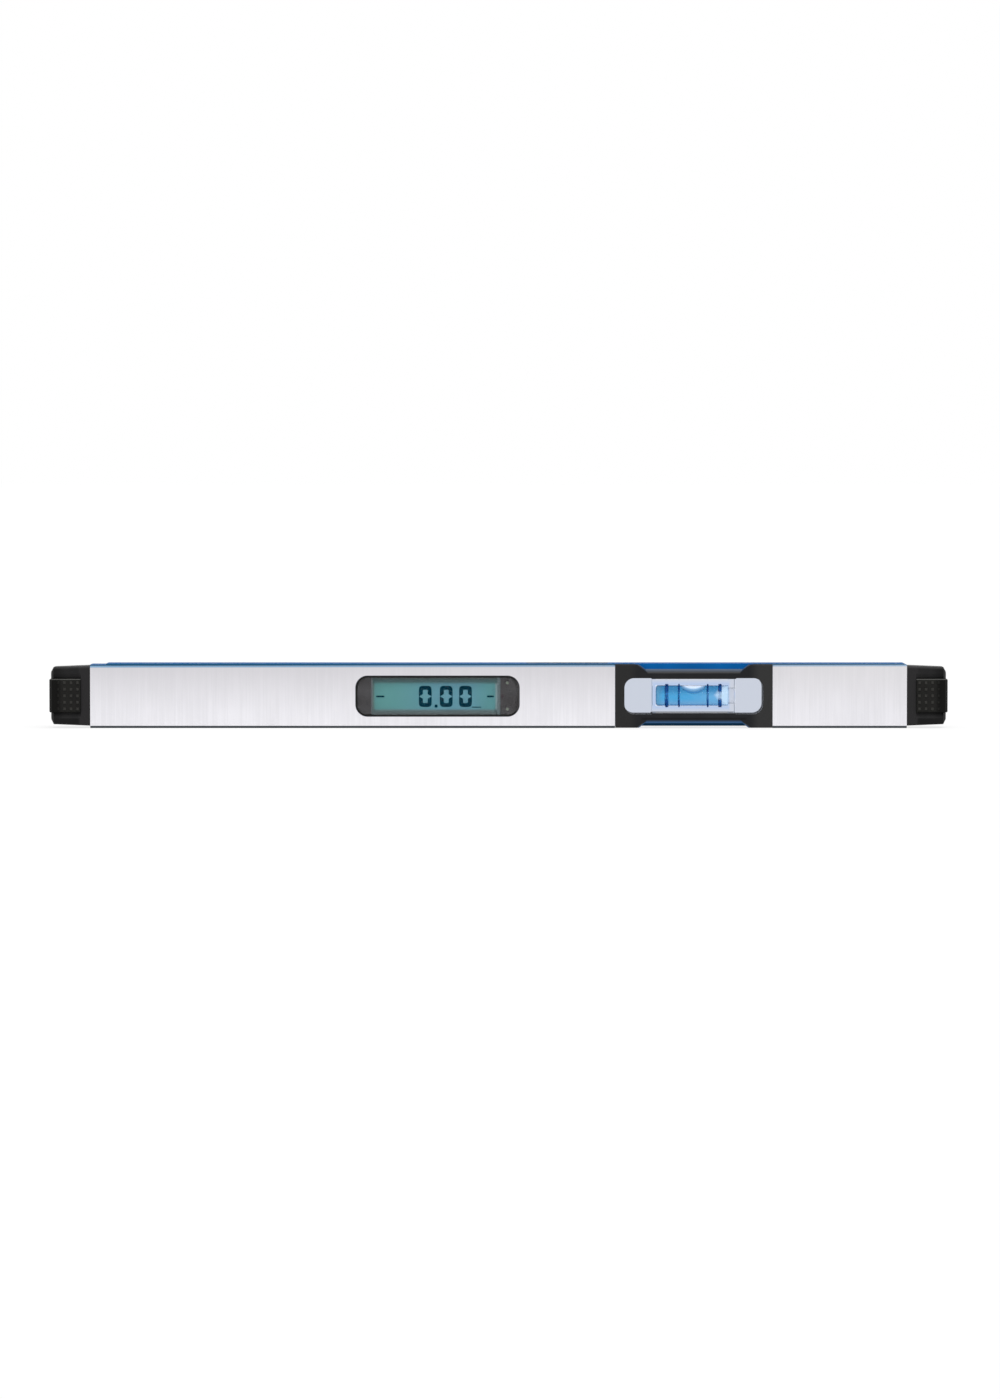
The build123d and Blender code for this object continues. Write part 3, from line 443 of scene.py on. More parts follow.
def bezelPlastic():
    look = bezelLook
    bench = newBench("bezelPlastic")
    low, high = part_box("vial_bezel_front")
    middle, half = (low + high) / 2, (high - low) / 2
    x, y, z = bench.axes()
    colour, roughness, relief = wornSkin(bench, look)
    # painted light on the sides
    beside = abs(x - middle.x).ease(half.x - look["sideStart"], half.x - look["sideFull"])
    sides = bench.mix(x.past(middle.x, look["blur"]), look["left"], look["right"])
    paintedSideLight = bench.mix(beside, colour, sides)
    sunk = (-low.y - abs(y)).ease(*look["bevelDepth"])
    outsideBar = abs(z - middle.z).ease(look["barHalf"] - look["barBlur"], look["barHalf"])
    # painted highlight above the middle, painted reflection below it
    bevel = bench.mix(z.past(middle.z, look["blur"]), look["lowBevelBlueReflection"], look["bevel"])
    bevelled = bench.mix(sunk * outsideBar, paintedSideLight, bevel)
    mouth = 1 - abs(x - middle.x).past(look["mouthHalf"], look["blur"])
    # painted shade under the bar
    underBar = mouth * (1 - abs(z - look["underBarAt"]).ease(*look["underBarFade"]))
    return bench.surface({
        "Base Color": bench.mix(underBar * look["underBarShare"], bevelled, look["underBar"]),
        "Roughness": roughness, "Specular IOR Level": look["shine"], "Normal": relief,
    })


# Bumpers: matt rubber in rubbed patches, with painted highlights on the tips of its grip and along its
# upper edge
gripLook = {
    "colour": tint(13, 13, 12), "worn": tint(20, 20, 18), "rubPerMetre": 150, "rubbed": (0.35, 0.65),
    # painted highlight on the tips of the grip
    "tip": tint(52, 51, 49), "tipStart": 0.55 * mm, "tipFull": 0.1 * mm, "taper": 0.95 / 23.6,
    # painted highlight along the upper edge
    "edge": tint(74, 74, 72), "edgeStart": 0.7 * mm, "edgeFull": 0.28 * mm,
    "shade": tint(7, 7, 6), "shadeShare": 0.85, "turned": (290 * mm, 295 * mm),
    "grainPerMetre": 3200, "grainDepth": 0.02 * mm, "grainBump": 0.6, "detail": 3.0,
    "roughness": 0.6, "roughnessSpread": 0.1, "shine": 0.08,
}


def bumperGrip(node):
    look = gripLook
    bench = newBench(node + "Rubber")
    low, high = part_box(node)
    inner = min(abs(low.x), abs(high.x))
    x, y, z = bench.axes()
    grain = bench.noise(look["grainPerMetre"], detail=look["detail"])
    rub = bench.noise(look["rubPerMetre"], detail=look["detail"])
    body = bench.mix(rub.ease(*look["rubbed"]), look["colour"], look["worn"])
    skin = abs(y) + (abs(x) - inner) * look["taper"]
    # painted highlight on the tips
    tips = skin.ease(high.y - look["tipStart"], high.y - look["tipFull"])
    tipped = bench.mix(tips, body, look["tip"])
    turned = abs(x).ease(*look["turned"])
    dimmed = bench.mix(turned * look["shadeShare"], tipped, look["shade"])
    # painted highlight along the upper edge
    edge = z.ease(high.z - look["edgeStart"], high.z - look["edgeFull"])
    return bench.surface({
        "Base Color": bench.mix(edge, dimmed, look["edge"]),
        "Roughness": look["roughness"] + (rub - 0.5) * look["roughnessSpread"],
        "Specular IOR Level": look["shine"],
        "Normal": bench.bump(grain, look["grainDepth"], look["grainBump"]),
    })


# Small metal: plated screws, contacts and the can of the sensor
metals = {
    "zincScrew": {"light": (0.62, 0.62, 0.63, 1), "dark": (0.36, 0.36, 0.37, 1), "roughness": 0.3},
    "nickelContact": {"light": (0.74, 0.72, 0.68, 1), "dark": (0.52, 0.50, 0.46, 1), "roughness": 0.22},
    "sensorCan": {"light": (0.66, 0.66, 0.66, 1), "dark": (0.5, 0.5, 0.5, 1), "roughness": 0.35},
}
stainLook = {
    "perMetre": 700, "detail": 4.0, "stained": (0.35, 0.65),
    "depth": 0.004 * mm, "bump": 0.4, "roughnessSpread": 0.15,
}


def plated(name):
    look = metals[name]
    bench = newBench(name)
    stain = bench.noise(stainLook["perMetre"], detail=stainLook["detail"])
    return bench.surface({
        "Base Color": bench.mix(stain.ease(*stainLook["stained"]), look["dark"], look["light"]),
        "Metallic": 1.0,
        "Roughness": look["roughness"] + stain * stainLook["roughnessSpread"],
        "Normal": bench.bump(stain, stainLook["depth"], stainLook["bump"]),
    })


# Battery sleeves: dark film with one pale band, bare at both ends
cellSleeve = {
    "film": tint(52, 60, 70), "band": tint(196, 200, 204), "bandStart": 0.16, "bandEnd": 0.3,
    "can": (0.62, 0.61, 0.59, 1), "canShare": 0.035, "blur": 0.004,
    "scuffPerMetre": 500, "scuffDetail": 3.0, "roughness": 0.26, "roughnessSpread": 0.14, "coat": 0.3,
}


def cellFilm():
    look = cellSleeve
    bench = newBench("cellFilm")
    low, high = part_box("battery_cells")
    x = bench.axes()[0]
    share = (x - low.x) / (high.x - low.x)
    band = share.past(look["bandStart"], look["blur"]) * (1 - share.past(look["bandEnd"], look["blur"]))
    sleeve = bench.mix(band, look["film"], look["band"])
    filmEnd = 0.5 - look["canShare"]
    bare = abs(share - 0.5).ease(filmEnd - look["blur"], filmEnd)
    scuff = bench.noise(look["scuffPerMetre"], detail=look["scuffDetail"])
    return bench.surface({
        "Base Color": bench.mix(bare, sleeve, look["can"]),
        "Metallic": bare,
        "Roughness": look["roughness"] + scuff * look["roughnessSpread"],
        "Coat Weight": look["coat"],
    })


# Contact strips: striped rubber that joins the glass cell to the board
contactRubber = {
    "pale": tint(210, 180, 176), "carbon": tint(40, 40, 42),
    "stripesPerMetre": 2500, "paleToCarbon": (0.4, 0.6), "roughness": 0.7,
}


def stripedRubber():
    look = contactRubber
    bench = newBench("stripedRubber")
    x = bench.axes()[0]
    stripe = bench.node("ShaderNodeMath", {"operation": "FRACT"}, {0: x * look["stripesPerMetre"]})
    return bench.surface({
        "Base Color": bench.mix(stripe.ease(*look["paleToCarbon"]), look["pale"], look["carbon"]),
        "Roughness": look["roughness"],
    })


# Display cell: grey green glass with a greyer left border, a pale line at the right and painted shade
# along its upper and lower borders, held by a lip all round
lcdLook = {
    "left": tint(94, 150, 150), "right": tint(98, 150, 166), "leftToRight": (0.1, 0.6),
    "farRight": tint(92, 148, 152), "rightToFar": (0.72, 0.94), "lip": 1.7 * mm,
    "sideEdge": tint(108, 130, 128), "sideFade": (0.2 * mm, 2.0 * mm), "sideShare": 0.9,
    "line": tint(146, 170, 174), "lineFade": (0.6 * mm, 2.2 * mm),
    # painted shade along the upper and lower borders
    "upperEdge": tint(84, 112, 114), "upperFade": (1.4 * mm, 3.8 * mm),
    "lowerEdge": tint(106, 122, 125), "lowerFade": (0.9 * mm, 3.2 * mm),
    "smearPerMetre": 700, "roughness": 0.3, "roughnessSpread": 0.1, "shine": 0.1,
}


def lcdGlass():
    look = lcdLook
    bench = newBench("lcdGlass")
    low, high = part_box("lcd_cell")
    lip = look["lip"]
    x, _, z = bench.axes()
    share = (x - low.x) / (high.x - low.x)
    bluer = bench.mix(share.ease(*look["leftToRight"]), look["left"], look["right"])
    field = bench.mix(share.ease(*look["rightToFar"]), bluer, look["farRight"])
    left = 1 - (x - low.x - lip).ease(*look["sideFade"])
    right = 1 - (high.x - lip - x).ease(*look["lineFade"])
    # painted shade along the upper and lower borders
    upper = 1 - (high.z - lip - z).ease(*look["upperFade"])
    lower = 1 - (z - low.z - lip).ease(*look["lowerFade"])
    shaded = bench.mix(left * look["sideShare"], field, look["sideEdge"])
    lined = bench.mix(right, shaded, look["line"])
    topped = bench.mix(upper, lined, look["upperEdge"])
    return bench.surface({
        "Base Color": bench.mix(lower, topped, look["lowerEdge"]),
        "Roughness": look["roughness"] + bench.noise(look["smearPerMetre"]) * look["roughnessSpread"],
        "Specular IOR Level": look["shine"],
    })


# Display frame: satin black rim with a painted highlight at its right end, dark grey border under the
# lens, paler next to the cell
frameLook = {
    "rim": tint(11, 11, 11), "rimWorn": tint(20, 19, 19), "rimRubbed": (0.35, 0.65),
    "rimRight": tint(58, 57, 58), "rimRightReach": 2 * mm,
    "border": tint(75, 73, 75), "borderDim": tint(63, 60, 62), "borderClouds": (0.3, 0.7),
    "besideCell": tint(98, 112, 116), "glowReach": 1.6 * mm, "glowShift": 1 * mm, "glowBlur": 1 * mm,
    "upperStrip": tint(78, 92, 91), "lowerStrip": tint(98, 108, 110),
    "stripBlur": 0.4 * mm, "endBlur": 0.5 * mm, "ledgeStart": 0.2 * mm, "ledgeFull": 0.1 * mm,
    "cloudsPerMetre": 90, "cloudDetail": 3.0,
    "grainPerMetre": 3000, "grainDepth": 0.01 * mm, "grainBump": 0.5,
    "roughness": 0.4, "roughnessSpread": 0.1, "shine": 0.2,
}


def displayFrame():
    look = frameLook
    bench = newBench("displayFrame")
    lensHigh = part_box("display_lens")[1]
    cellLow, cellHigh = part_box("lcd_cell")
    lip = lcdLook["lip"]
    x, y, z = bench.axes()
    grain = bench.noise(look["grainPerMetre"])
    clouds = bench.noise(look["cloudsPerMetre"], detail=look["cloudDetail"])
    rim = bench.mix(clouds.ease(*look["rimRubbed"]), look["rim"], look["rimWorn"])
    # painted highlight at the right end of the rim
    rims = bench.mix(x.ease(lensHigh.x - look["rimRightReach"], lensHigh.x), rim, look["rimRight"])
    border = bench.mix(clouds.ease(*look["borderClouds"]), look["borderDim"], look["border"])
    middle, half = (cellLow.x + cellHigh.x) / 2, (cellHigh.x - cellLow.x) / 2
    reach = abs(x - middle) - half + lip
    shift = x.ease(middle, middle + look["glowBlur"]) * look["glowShift"]
    glow = 1 - (reach - shift).ease(0.0, look["glowReach"])
    lined = bench.mix(glow, border, look["besideCell"])
    inside = 1 - reach.past(0.0, look["endBlur"])
    cellTop, cellFoot = cellHigh.z - lip, cellLow.z + lip
    upper = inside * z.ease(cellTop - look["stripBlur"], cellTop)
    lower = inside * (1 - z.ease(cellFoot, cellFoot + look["stripBlur"]))
    strips = bench.mix(lower, bench.mix(upper, lined, look["upperStrip"]), look["lowerStrip"])
    onLedge = y.ease(lensHigh.y - look["ledgeStart"], lensHigh.y - look["ledgeFull"])
    return bench.surface({
        "Base Color": bench.mix(onLedge, rims, strips),
        "Roughness": look["roughness"] + grain * look["roughnessSpread"],
        "Specular IOR Level": look["shine"],
        "Normal": bench.bump(grain, look["grainDepth"], look["grainBump"]),
    })


# Indicator lights: tinted pipes with a slight haze
pipeLook = {
    "pipeGreen": {"colour": tint(112, 124, 110), "haze": tint(124, 130, 120)},
    "pipeRed": {"colour": tint(48, 22, 36), "haze": tint(58, 34, 46)},
    "hazePerMetre": 1500, "roughness": 0.3, "shine": 0.3,
}


def lightPipe(name):
    look = pipeLook[name]
    bench = newBench(name)
    return bench.surface({
        "Base Color": bench.mix(bench.noise(pipeLook["hazePerMetre"]), look["colour"], look["haze"]),
        "Roughness": pipeLook["roughness"], "Specular IOR Level": pipeLook["shine"],
    })


# Vial block: clear, with a painted blue glow on its faces beside the chamber and a painted glint at the
# plug's end
blockLook = {
    # painted glow: the faces are tinted blue beside the chamber
    "pane": (0.59, 0.63, 0.72, 1), "glow": (0.46, 0.58, 0.82, 1),
    "glowReach": 4.2 * mm, "rightPace": 2.5,
    "clear": (0.97, 0.98, 0.99, 1), "clearToFace": (-0.5 * mm, 0.3 * mm),
    "plugStart": 0.2 * mm, "plugEnd": 0.1 * mm, "roundPlug": (7.7 * mm, 8.0 * mm),
    # painted glint at the plug's end, given as emission
    "edgeGlow": (0.16, 0.17, 0.19, 1),
    "edgeFade": (0.25 * mm, 0.45 * mm), "offPane": (2.2 * mm, 2.6 * mm),
    "roughness": 0.01, "ior": 1.49, "gleam": (0.05, 0.05, 0.05, 1),
}


def acrylicBlock():
    look = blockLook
    bench = newBench("acrylicBlock")
    low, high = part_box("vial_liquid")
    middle = (low.z + high.z) / 2
    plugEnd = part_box("vial_plug")[1].x
    x, y, z = bench.axes()
    above = abs(z - middle) - (high.z - low.z) / 2
    reach = above.larger(low.x - x).larger((x - high.x) * look["rightPace"])
    # painted glow, fading away from the chamber
    paintedLightTone = bench.mix(reach.ease(0.0, look["glowReach"]), look["glow"], look["pane"])
    beforeEnd = 1 - x.ease(plugEnd - look["plugEnd"], plugEnd)
    alongPlug = x.ease(high.x - look["plugStart"], high.x) * beforeEnd
    nearAxis = 1 - (abs(y) + abs(z - middle)).ease(*look["roundPlug"])
    faced = reach.ease(*look["clearToFace"]) * (1 - alongPlug * nearAxis)
    # painted glint at the plug's end
    plugEndGlint = (1 - abs(x - plugEnd).ease(*look["edgeFade"])) * abs(y).ease(*look["offPane"])
    return bench.surface({
        "Base Color": bench.mix(faced, look["clear"], paintedLightTone),
        "Roughness": look["roughness"], "Transmission Weight": 1.0, "IOR": look["ior"],
        "Specular Tint": look["gleam"],
        "Emission Color": bench.mix(plugEndGlint, black, look["edgeGlow"]), "Emission Strength": 1.0,
    })


def dressNodes():
    greyKeys = ("button_mode", "button_hold", "button_zero")
    fixedScrews = ("vial_bezel_screws", "board_screws", "keypad_screws")
    dress(brushedSheet(), "jacket_left", "jacket_right")
    dress(powderCoat(), "box_profile", "top_rail")
    dress(capPlastic(), "end_cap_left", "end_cap_right")
    dress(bumperGrip("bumper_left"), "bumper_left")
    dress(bumperGrip("bumper_right"), "bumper_right")
    dress(bezelPlastic(), "vial_bezel_front", "vial_bezel_rear")
    dress(displayFrame(), "display_bezel")
    dress(moulded("doorPlastic"), "battery_door")
    dress(moulded("keyPanel"), "keypad_frame")
    dress(moulded("trayPlastic"), "battery_tray", "display_carrier")
    dress(moulded("keyGrey"), *greyKeys)
    dress(moulded("keyBlue"), "button_power")
    dress(moulded("socketNylon"), "battery_socket", "flex_socket")
    dress(moulded("chipPlastic"), "controller_chip", "buzzer")
    dress(moulded("sealFoam"), "door_seal")
    dress(moulded("boardGreen"), "main_board", "key_board")
    dress(moulded("lightGuide"), "lcd_backlight")
    dress(moulded("flexAmber"), "keypad_flex")
    dress(moulded("leadRed"), "battery_lead_red")
    dress(moulded("leadBlack"), "battery_lead_black")
    dress(plated("zincScrew"), *fixedScrews, "door_screw_left", "door_screw_right")
    dress(plated("nickelContact"), "battery_contacts")
    dress(plated("sensorCan"), "tilt_sensor")
    dress(cellFilm(), "battery_cells")
    dress(stripedRubber(), "lcd_contact_strips")
    dress(lcdGlass(), "lcd_cell")
    dress(lightPipe("pipeGreen"), "tilt_leds")
    dress(lightPipe("pipeRed"), "level_led")
    dress(acrylicBlock(), "vial_block")


dressNodes()
print("nodes dressed")


def startPiece():
    bpy.ops.object.select_all(action="DESELECT")


def takeUp(piece):  # the one selected and active object
    startPiece()
    piece.select_set(True)
    bpy.context.view_layer.objects.active = piece


def pick(piece, kind, test):  # select what passes the test, and stay in edit mode
    bpy.ops.object.mode_set(mode="EDIT")
    bpy.ops.mesh.select_mode(type=kind)
    bpy.ops.mesh.select_all(action="DESELECT")
    bpy.ops.object.mode_set(mode="OBJECT")
    mesh = piece.data
    if kind == "VERT":
        spots = [(vertex, vertex.co) for vertex in mesh.vertices]
    elif kind == "EDGE":
        spots = [(edge, (mesh.vertices[edge.vertices[0]].co + mesh.vertices[edge.vertices[1]].co) / 2)
                 for edge in mesh.edges]
    else:
        spots = [(face, face.center) for face in mesh.polygons]
    for item, spot in spots:
        item.select = test(spot)
    bpy.ops.object.mode_set(mode="EDIT")


def endEdit():
    bpy.ops.mesh.select_all(action="SELECT")
    bpy.ops.mesh.normals_make_consistent(inside=False)
    bpy.ops.object.mode_set(mode="OBJECT")


def flatPlate(width, height):  # left in edit mode
    startPiece()
    bpy.ops.mesh.primitive_plane_add(size=1)
    bpy.ops.object.mode_set(mode="EDIT")
    bpy.ops.transform.resize(value=(width, height, 1), center_override=(0, 0, 0))
    return bpy.context.object


def roundCorners(corner, steps):  # the corners that are selected
    bpy.ops.mesh.bevel(affect="VERTICES", offset=corner, segments=steps)


def thicken(depth):
    bpy.ops.mesh.select_all(action="SELECT")
    bpy.ops.mesh.extrude_region_move(TRANSFORM_OT_translate={"value": (0, 0, depth)})
    endEdit()


def layRod(middle, radius, length, facets, ends="NGON"):  # a round bar along the level
    startPiece()
    bpy.ops.mesh.primitive_cylinder_add(
        vertices=facets, radius=radius, depth=length, end_fill_type=ends,
        location=middle, rotation=(0, math.pi / 2, 0))
    return bpy.context.object


def softenEdges(piece, width, steps, angle):
    soft = piece.modifiers.new("soft", "BEVEL")
    soft.width = width
    soft.segments = steps
    soft.limit_method = "ANGLE"
    soft.angle_limit = math.radians(angle)
    bpy.ops.object.modifier_apply(modifier=soft.name)


def cutWith(piece, tool, operation):  # the tool is used up
    cut = piece.modifiers.new("cut", "BOOLEAN")
    cut.operation = operation
    cut.object = tool
    bpy.ops.object.modifier_apply(modifier=cut.name)
    bpy.data.objects.remove(tool)


def smoothBelow(angle):
    bpy.ops.object.shade_smooth_by_angle(angle=math.radians(angle))


def keepPlace():  # the place goes into the mesh
    bpy.ops.object.transform_apply(location=True, rotation=True, scale=True)


def standUp(piece, spot, turn=0.0):  # a flat plate faces the front
    piece.rotation_euler = (math.pi / 2, turn, 0)
    piece.location = spot
    keepPlace()


def joinPieces(parts):
    startPiece()
    for part in parts:
        part.select_set(True)
    bpy.context.view_layer.objects.active = parts[0]
    bpy.ops.object.join()
    return bpy.context.object


def settle(piece, name, material, body):  # name it, dress it and let it ride
    keepPlace()
    piece.name = name
    piece.data.name = name
    piece.data.materials.clear()
    piece.data.materials.append(material)
    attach(piece, body)
    return piece


# Digits: noughts, each of two horseshoes that part at the waist
digitLook = {
    "height": 14.0 * mm, "width": 8.5 * mm, "stroke": 2.65 * mm, "slant": 1.4 * mm, "tip": 0.25 * mm,
    "corner": 2.3 * mm, "cornerSteps": 4, "thick": 0.03 * mm, "waist": 0.1 * mm, "overcut": 0.2 * mm,
    "centres": (-48.9 * mm, -34.95 * mm, -22.1 * mm), "level": 21.1 * mm, "lift": 0.02 * mm,
    "ink": tint(0, 42, 58), "inkSoft": tint(2, 52, 68), "mottlePerMetre": 900, "mottled": (0.35, 0.65),
    "roughness": 0.4,
}


def digitInk():
    look = digitLook
    bench = newBench("digitInk")
    mottle = bench.noise(look["mottlePerMetre"])
    return bench.surface({
        "Base Color": bench.mix(mottle.ease(*look["mottled"]), look["ink"], look["inkSoft"]),
        "Roughness": look["roughness"], "Specular IOR Level": 0.0,
    })


def horseshoe(spot, turn):  # half a nought: a rounded plate less the space inside it
    width, stroke, slant = digitLook["width"], digitLook["stroke"], digitLook["slant"]
    thick = digitLook["thick"]
    tall = digitLook["height"] / 2 - digitLook["waist"]
    half = flatPlate(width, tall)
    pick(half, "VERT", lambda at: at.y > 0)
    roundCorners(digitLook["corner"], digitLook["cornerSteps"])
    thicken(thick)
    space = flatPlate(width - 2 * stroke, tall - stroke - slant)
    bpy.ops.transform.translate(value=(0, (slant - stroke) / 2, -thick))
    flare = (width - 2 * digitLook["tip"]) / (width - 2 * stroke)
    for drop, spread in ((slant, flare), (digitLook["overcut"], 1)):
        bpy.ops.object.mode_set(mode="OBJECT")
        bottom = min(vertex.co.y for vertex in space.data.vertices)
        pick(space, "EDGE", lambda at: at.y < bottom + near)
        bpy.ops.mesh.extrude_region_move(TRANSFORM_OT_translate={"value": (0, -drop, 0)})
        bpy.ops.transform.resize(value=(spread, 1, 1), center_override=(0, 0, 0))
    thicken(3 * thick)
    takeUp(half)
    cutWith(half, space, "DIFFERENCE")
    standUp(half, spot, turn)
    return half


def makeDigits():
    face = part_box("lcd_cell")[0].y - digitLook["lift"]
    halves = []
    for centre in digitLook["centres"]:
        for side, turn in ((1, 0), (-1, math.pi)):
            level = digitLook["level"] + side * (digitLook["height"] / 4 + digitLook["waist"] / 2)
            halves.append(horseshoe((centre, face, level), turn))
    settle(joinPieces(halves), "lcdDigits", digitInk(), "level")


# Point, side dashes and unit bar: small rounded strips
markLook = {
    "strips": [
        {"middle": (-41.7 * mm, 14.7 * mm), "size": (2.0 * mm, 2.0 * mm), "corner": 0.5 * mm},
        {"middle": (-78.9 * mm, 21.05 * mm), "size": (5.6 * mm, 1.2 * mm), "corner": 0.55 * mm},
        {"middle": (-5.5 * mm, 21.05 * mm), "size": (4.6 * mm, 1.2 * mm), "corner": 0.55 * mm},
        {"middle": (-14.7 * mm, 14.0 * mm), "size": (6.2 * mm, 0.65 * mm), "corner": 0.3 * mm},
    ],
    "cornerSteps": 3,
}


def makeMarks():
    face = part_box("lcd_cell")[0].y - digitLook["lift"]
    strips = []
    for strip in markLook["strips"]:
        piece = flatPlate(*strip["size"])
        roundCorners(strip["corner"], markLook["cornerSteps"])
        thicken(digitLook["thick"])
        across, level = strip["middle"]
        standUp(piece, (across, face, level))
        strips.append(piece)
    settle(joinPieces(strips), "lcdMarks", digitInk(), "level")


# Lens: a clear sheet with softened edges, a hair off the ledge that it rests on
lensLook = {
    "gap": 0.05 * mm, "corner": 6.8 * mm, "cornerSteps": 16,
    "edge": 0.12 * mm, "edgeSteps": 2, "edgeAngle": 50, "smoothAngle": 30,
    "clear": (0.97, 0.98, 0.98, 1), "ior": 1.12,
    "smearPerMetre": 60, "smearDetail": 3.0, "roughness": 0.02, "roughnessSpread": 0.04,
}


def lensClear():
    look = lensLook
    bench = newBench("lensClear")
    smear = bench.noise(look["smearPerMetre"], detail=look["smearDetail"])
    return bench.surface({
        "Base Color": look["clear"],
        "Roughness": look["roughness"] + smear * look["roughnessSpread"],
        "Transmission Weight": 1.0, "IOR": look["ior"],
    })


def makeLens():
    low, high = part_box("display_lens")
    thick = high.y - low.y - lensLook["gap"]
    lens = flatPlate(high.x - low.x, high.z - low.z)
    roundCorners(lensLook["corner"], lensLook["cornerSteps"])
    thicken(thick)
    softenEdges(lens, lensLook["edge"], lensLook["edgeSteps"], lensLook["edgeAngle"])
    smoothBelow(lensLook["smoothAngle"])
    standUp(lens, ((low.x + high.x) / 2, low.y + thick, (low.z + high.z) / 2))
    settle(lens, "displayLens", lensClear(), "level")
    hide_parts("display_lens")


# Liquid: fills the chamber a hair beyond its wall, so that light crosses the wall cleanly
liquidLook = {
    "grow": 0.07 * mm, "facets": 128, "endRound": 2.0 * mm, "endSteps": 10, "smoothAngle": 40,
    "clear": (0.97, 0.98, 1.0, 1), "halfBlur": 1 * mm,
    # painted light: the liquid is darker at the top and at its rounded left end, paler low down and
    # towards the right
    "middle": tint(80, 168, 219), "middleRight": tint(108, 177, 224), "leftToRight": (0.4, 0.85),
    "top": tint(68, 140, 190), "middleToTop": (0.42, 0.8),
    "low": tint(114, 170, 216), "lowToMiddle": (0.0, 0.36),
    "end": tint(96, 152, 184), "endFade": (1.5 * mm, 5.5 * mm), "endShare": 0.7,
    # painted reflection of the plug's end: a pale wedge at the right
    "pale": tint(200, 228, 252), "paleReach": 10.2 * mm, "paleTaper": 5.0 * mm,
    "ior": 1.46, "gleam": (0.04, 0.04, 0.04, 1),
}


def squared(colour):  # light meets the tint once, on the far wall only
    return tuple(part * part for part in colour)


def blueLiquid(low, high):
    look = liquidLook
    bench = newBench("blueLiquid")
    x, y, z = bench.axes()
    along = (x - low.x) / (high.x - low.x)
    share = (z - low.z) / (high.z - low.z)
    # painted light and shade across the liquid
    rightward = along.ease(*look["leftToRight"])
    middle = bench.mix(rightward, squared(look["middle"]), squared(look["middleRight"]))
    upper = bench.mix(share.ease(*look["middleToTop"]), middle, squared(look["top"]))
    whole = bench.mix(share.ease(*look["lowToMiddle"]), squared(look["low"]), upper)
    nearEnd = 1 - (x - low.x).ease(*look["endFade"])
    ended = bench.mix(nearEnd * look["endShare"], whole, squared(look["end"]))
    # painted reflection of the plug's end
    taper = abs(share - 0.5) * 2 * look["paleTaper"]
    tail = (x - (high.x - look["paleReach"]) - taper).ease(0.0, look["paleTaper"])
    farWall = bench.mix(tail, ended, squared(look["pale"]))
    return bench.surface({
        "Base Color": bench.mix(y.past(0.0, look["halfBlur"]), look["clear"], farWall),
        "Roughness": 0.0, "Transmission Weight": 1.0, "IOR": look["ior"],
        "Specular Tint": look["gleam"],
    })


def makeLiquid():
    low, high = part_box("vial_liquid")
    length, grow = high.x - low.x, liquidLook["grow"]
    radius = (high.z - low.z) / 2 + grow
    liquid = layRod((low + high) / 2, radius, length + 2 * grow, liquidLook["facets"])
    pick(liquid, "EDGE", lambda at: at.z < -length / 2)
    bpy.ops.mesh.bevel(affect="EDGES", offset=liquidLook["endRound"], segments=liquidLook["endSteps"])
    endEdit()
    smoothBelow(liquidLook["smoothAngle"])
    settle(liquid, "vialLiquid", blueLiquid(low, high), "level")
    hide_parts("vial_liquid")


# Bubble: a long drop of air pressed against the top of the chamber, with a painted highlight glowing
# under its upper wall, a fainter painted glow below and painted shade along its lower edge
bubbleLook = {
    "wallGap": 0.03 * mm, "wallFacets": 128, "wallSpare": 8 * mm, "breadth": 0.98,
    "segments": 96, "rings": 48, "rim": 0.7 * mm, "rimSteps": 5, "rimAngle": 35, "sliver": 0.005 * mm,
    "air": (0.98, 0.99, 1.0, 1), "shade": (0.28, 0.50, 0.68, 1), "shadeToAir": (0.0, 0.5), "curl": 0.5,
    # painted highlight and glow, given as emission
    "middle": (0.10, 0.11, 0.11, 1), "darkToMiddle": (0.05, 0.6),
    "bright": (0.37, 0.35, 0.33, 1), "middleToBright": (0.5, 0.75), "ior": 0.95,
}


def bubbleAir(low, high):
    look = bubbleLook
    bench = newBench("bubbleAir")
    x, _, z = bench.axes()
    along = (x - (low.x + high.x) / 2) / ((high.x - low.x) / 2)
    share = (z - low.z) / (high.z - low.z) - look["curl"] * along * along
    # painted glow, with the painted highlight above it
    lower = bench.mix(share.ease(*look["darkToMiddle"]), black, look["middle"])
    return bench.surface({
        "Base Color": bench.mix(share.ease(*look["shadeToAir"]), look["shade"], look["air"]),
        "Roughness": 0.0, "Transmission Weight": 1.0, "IOR": look["ior"],
        "Emission Color": bench.mix(share.ease(*look["middleToBright"]), lower, look["bright"]),
        "Emission Strength": 1.0,
    })


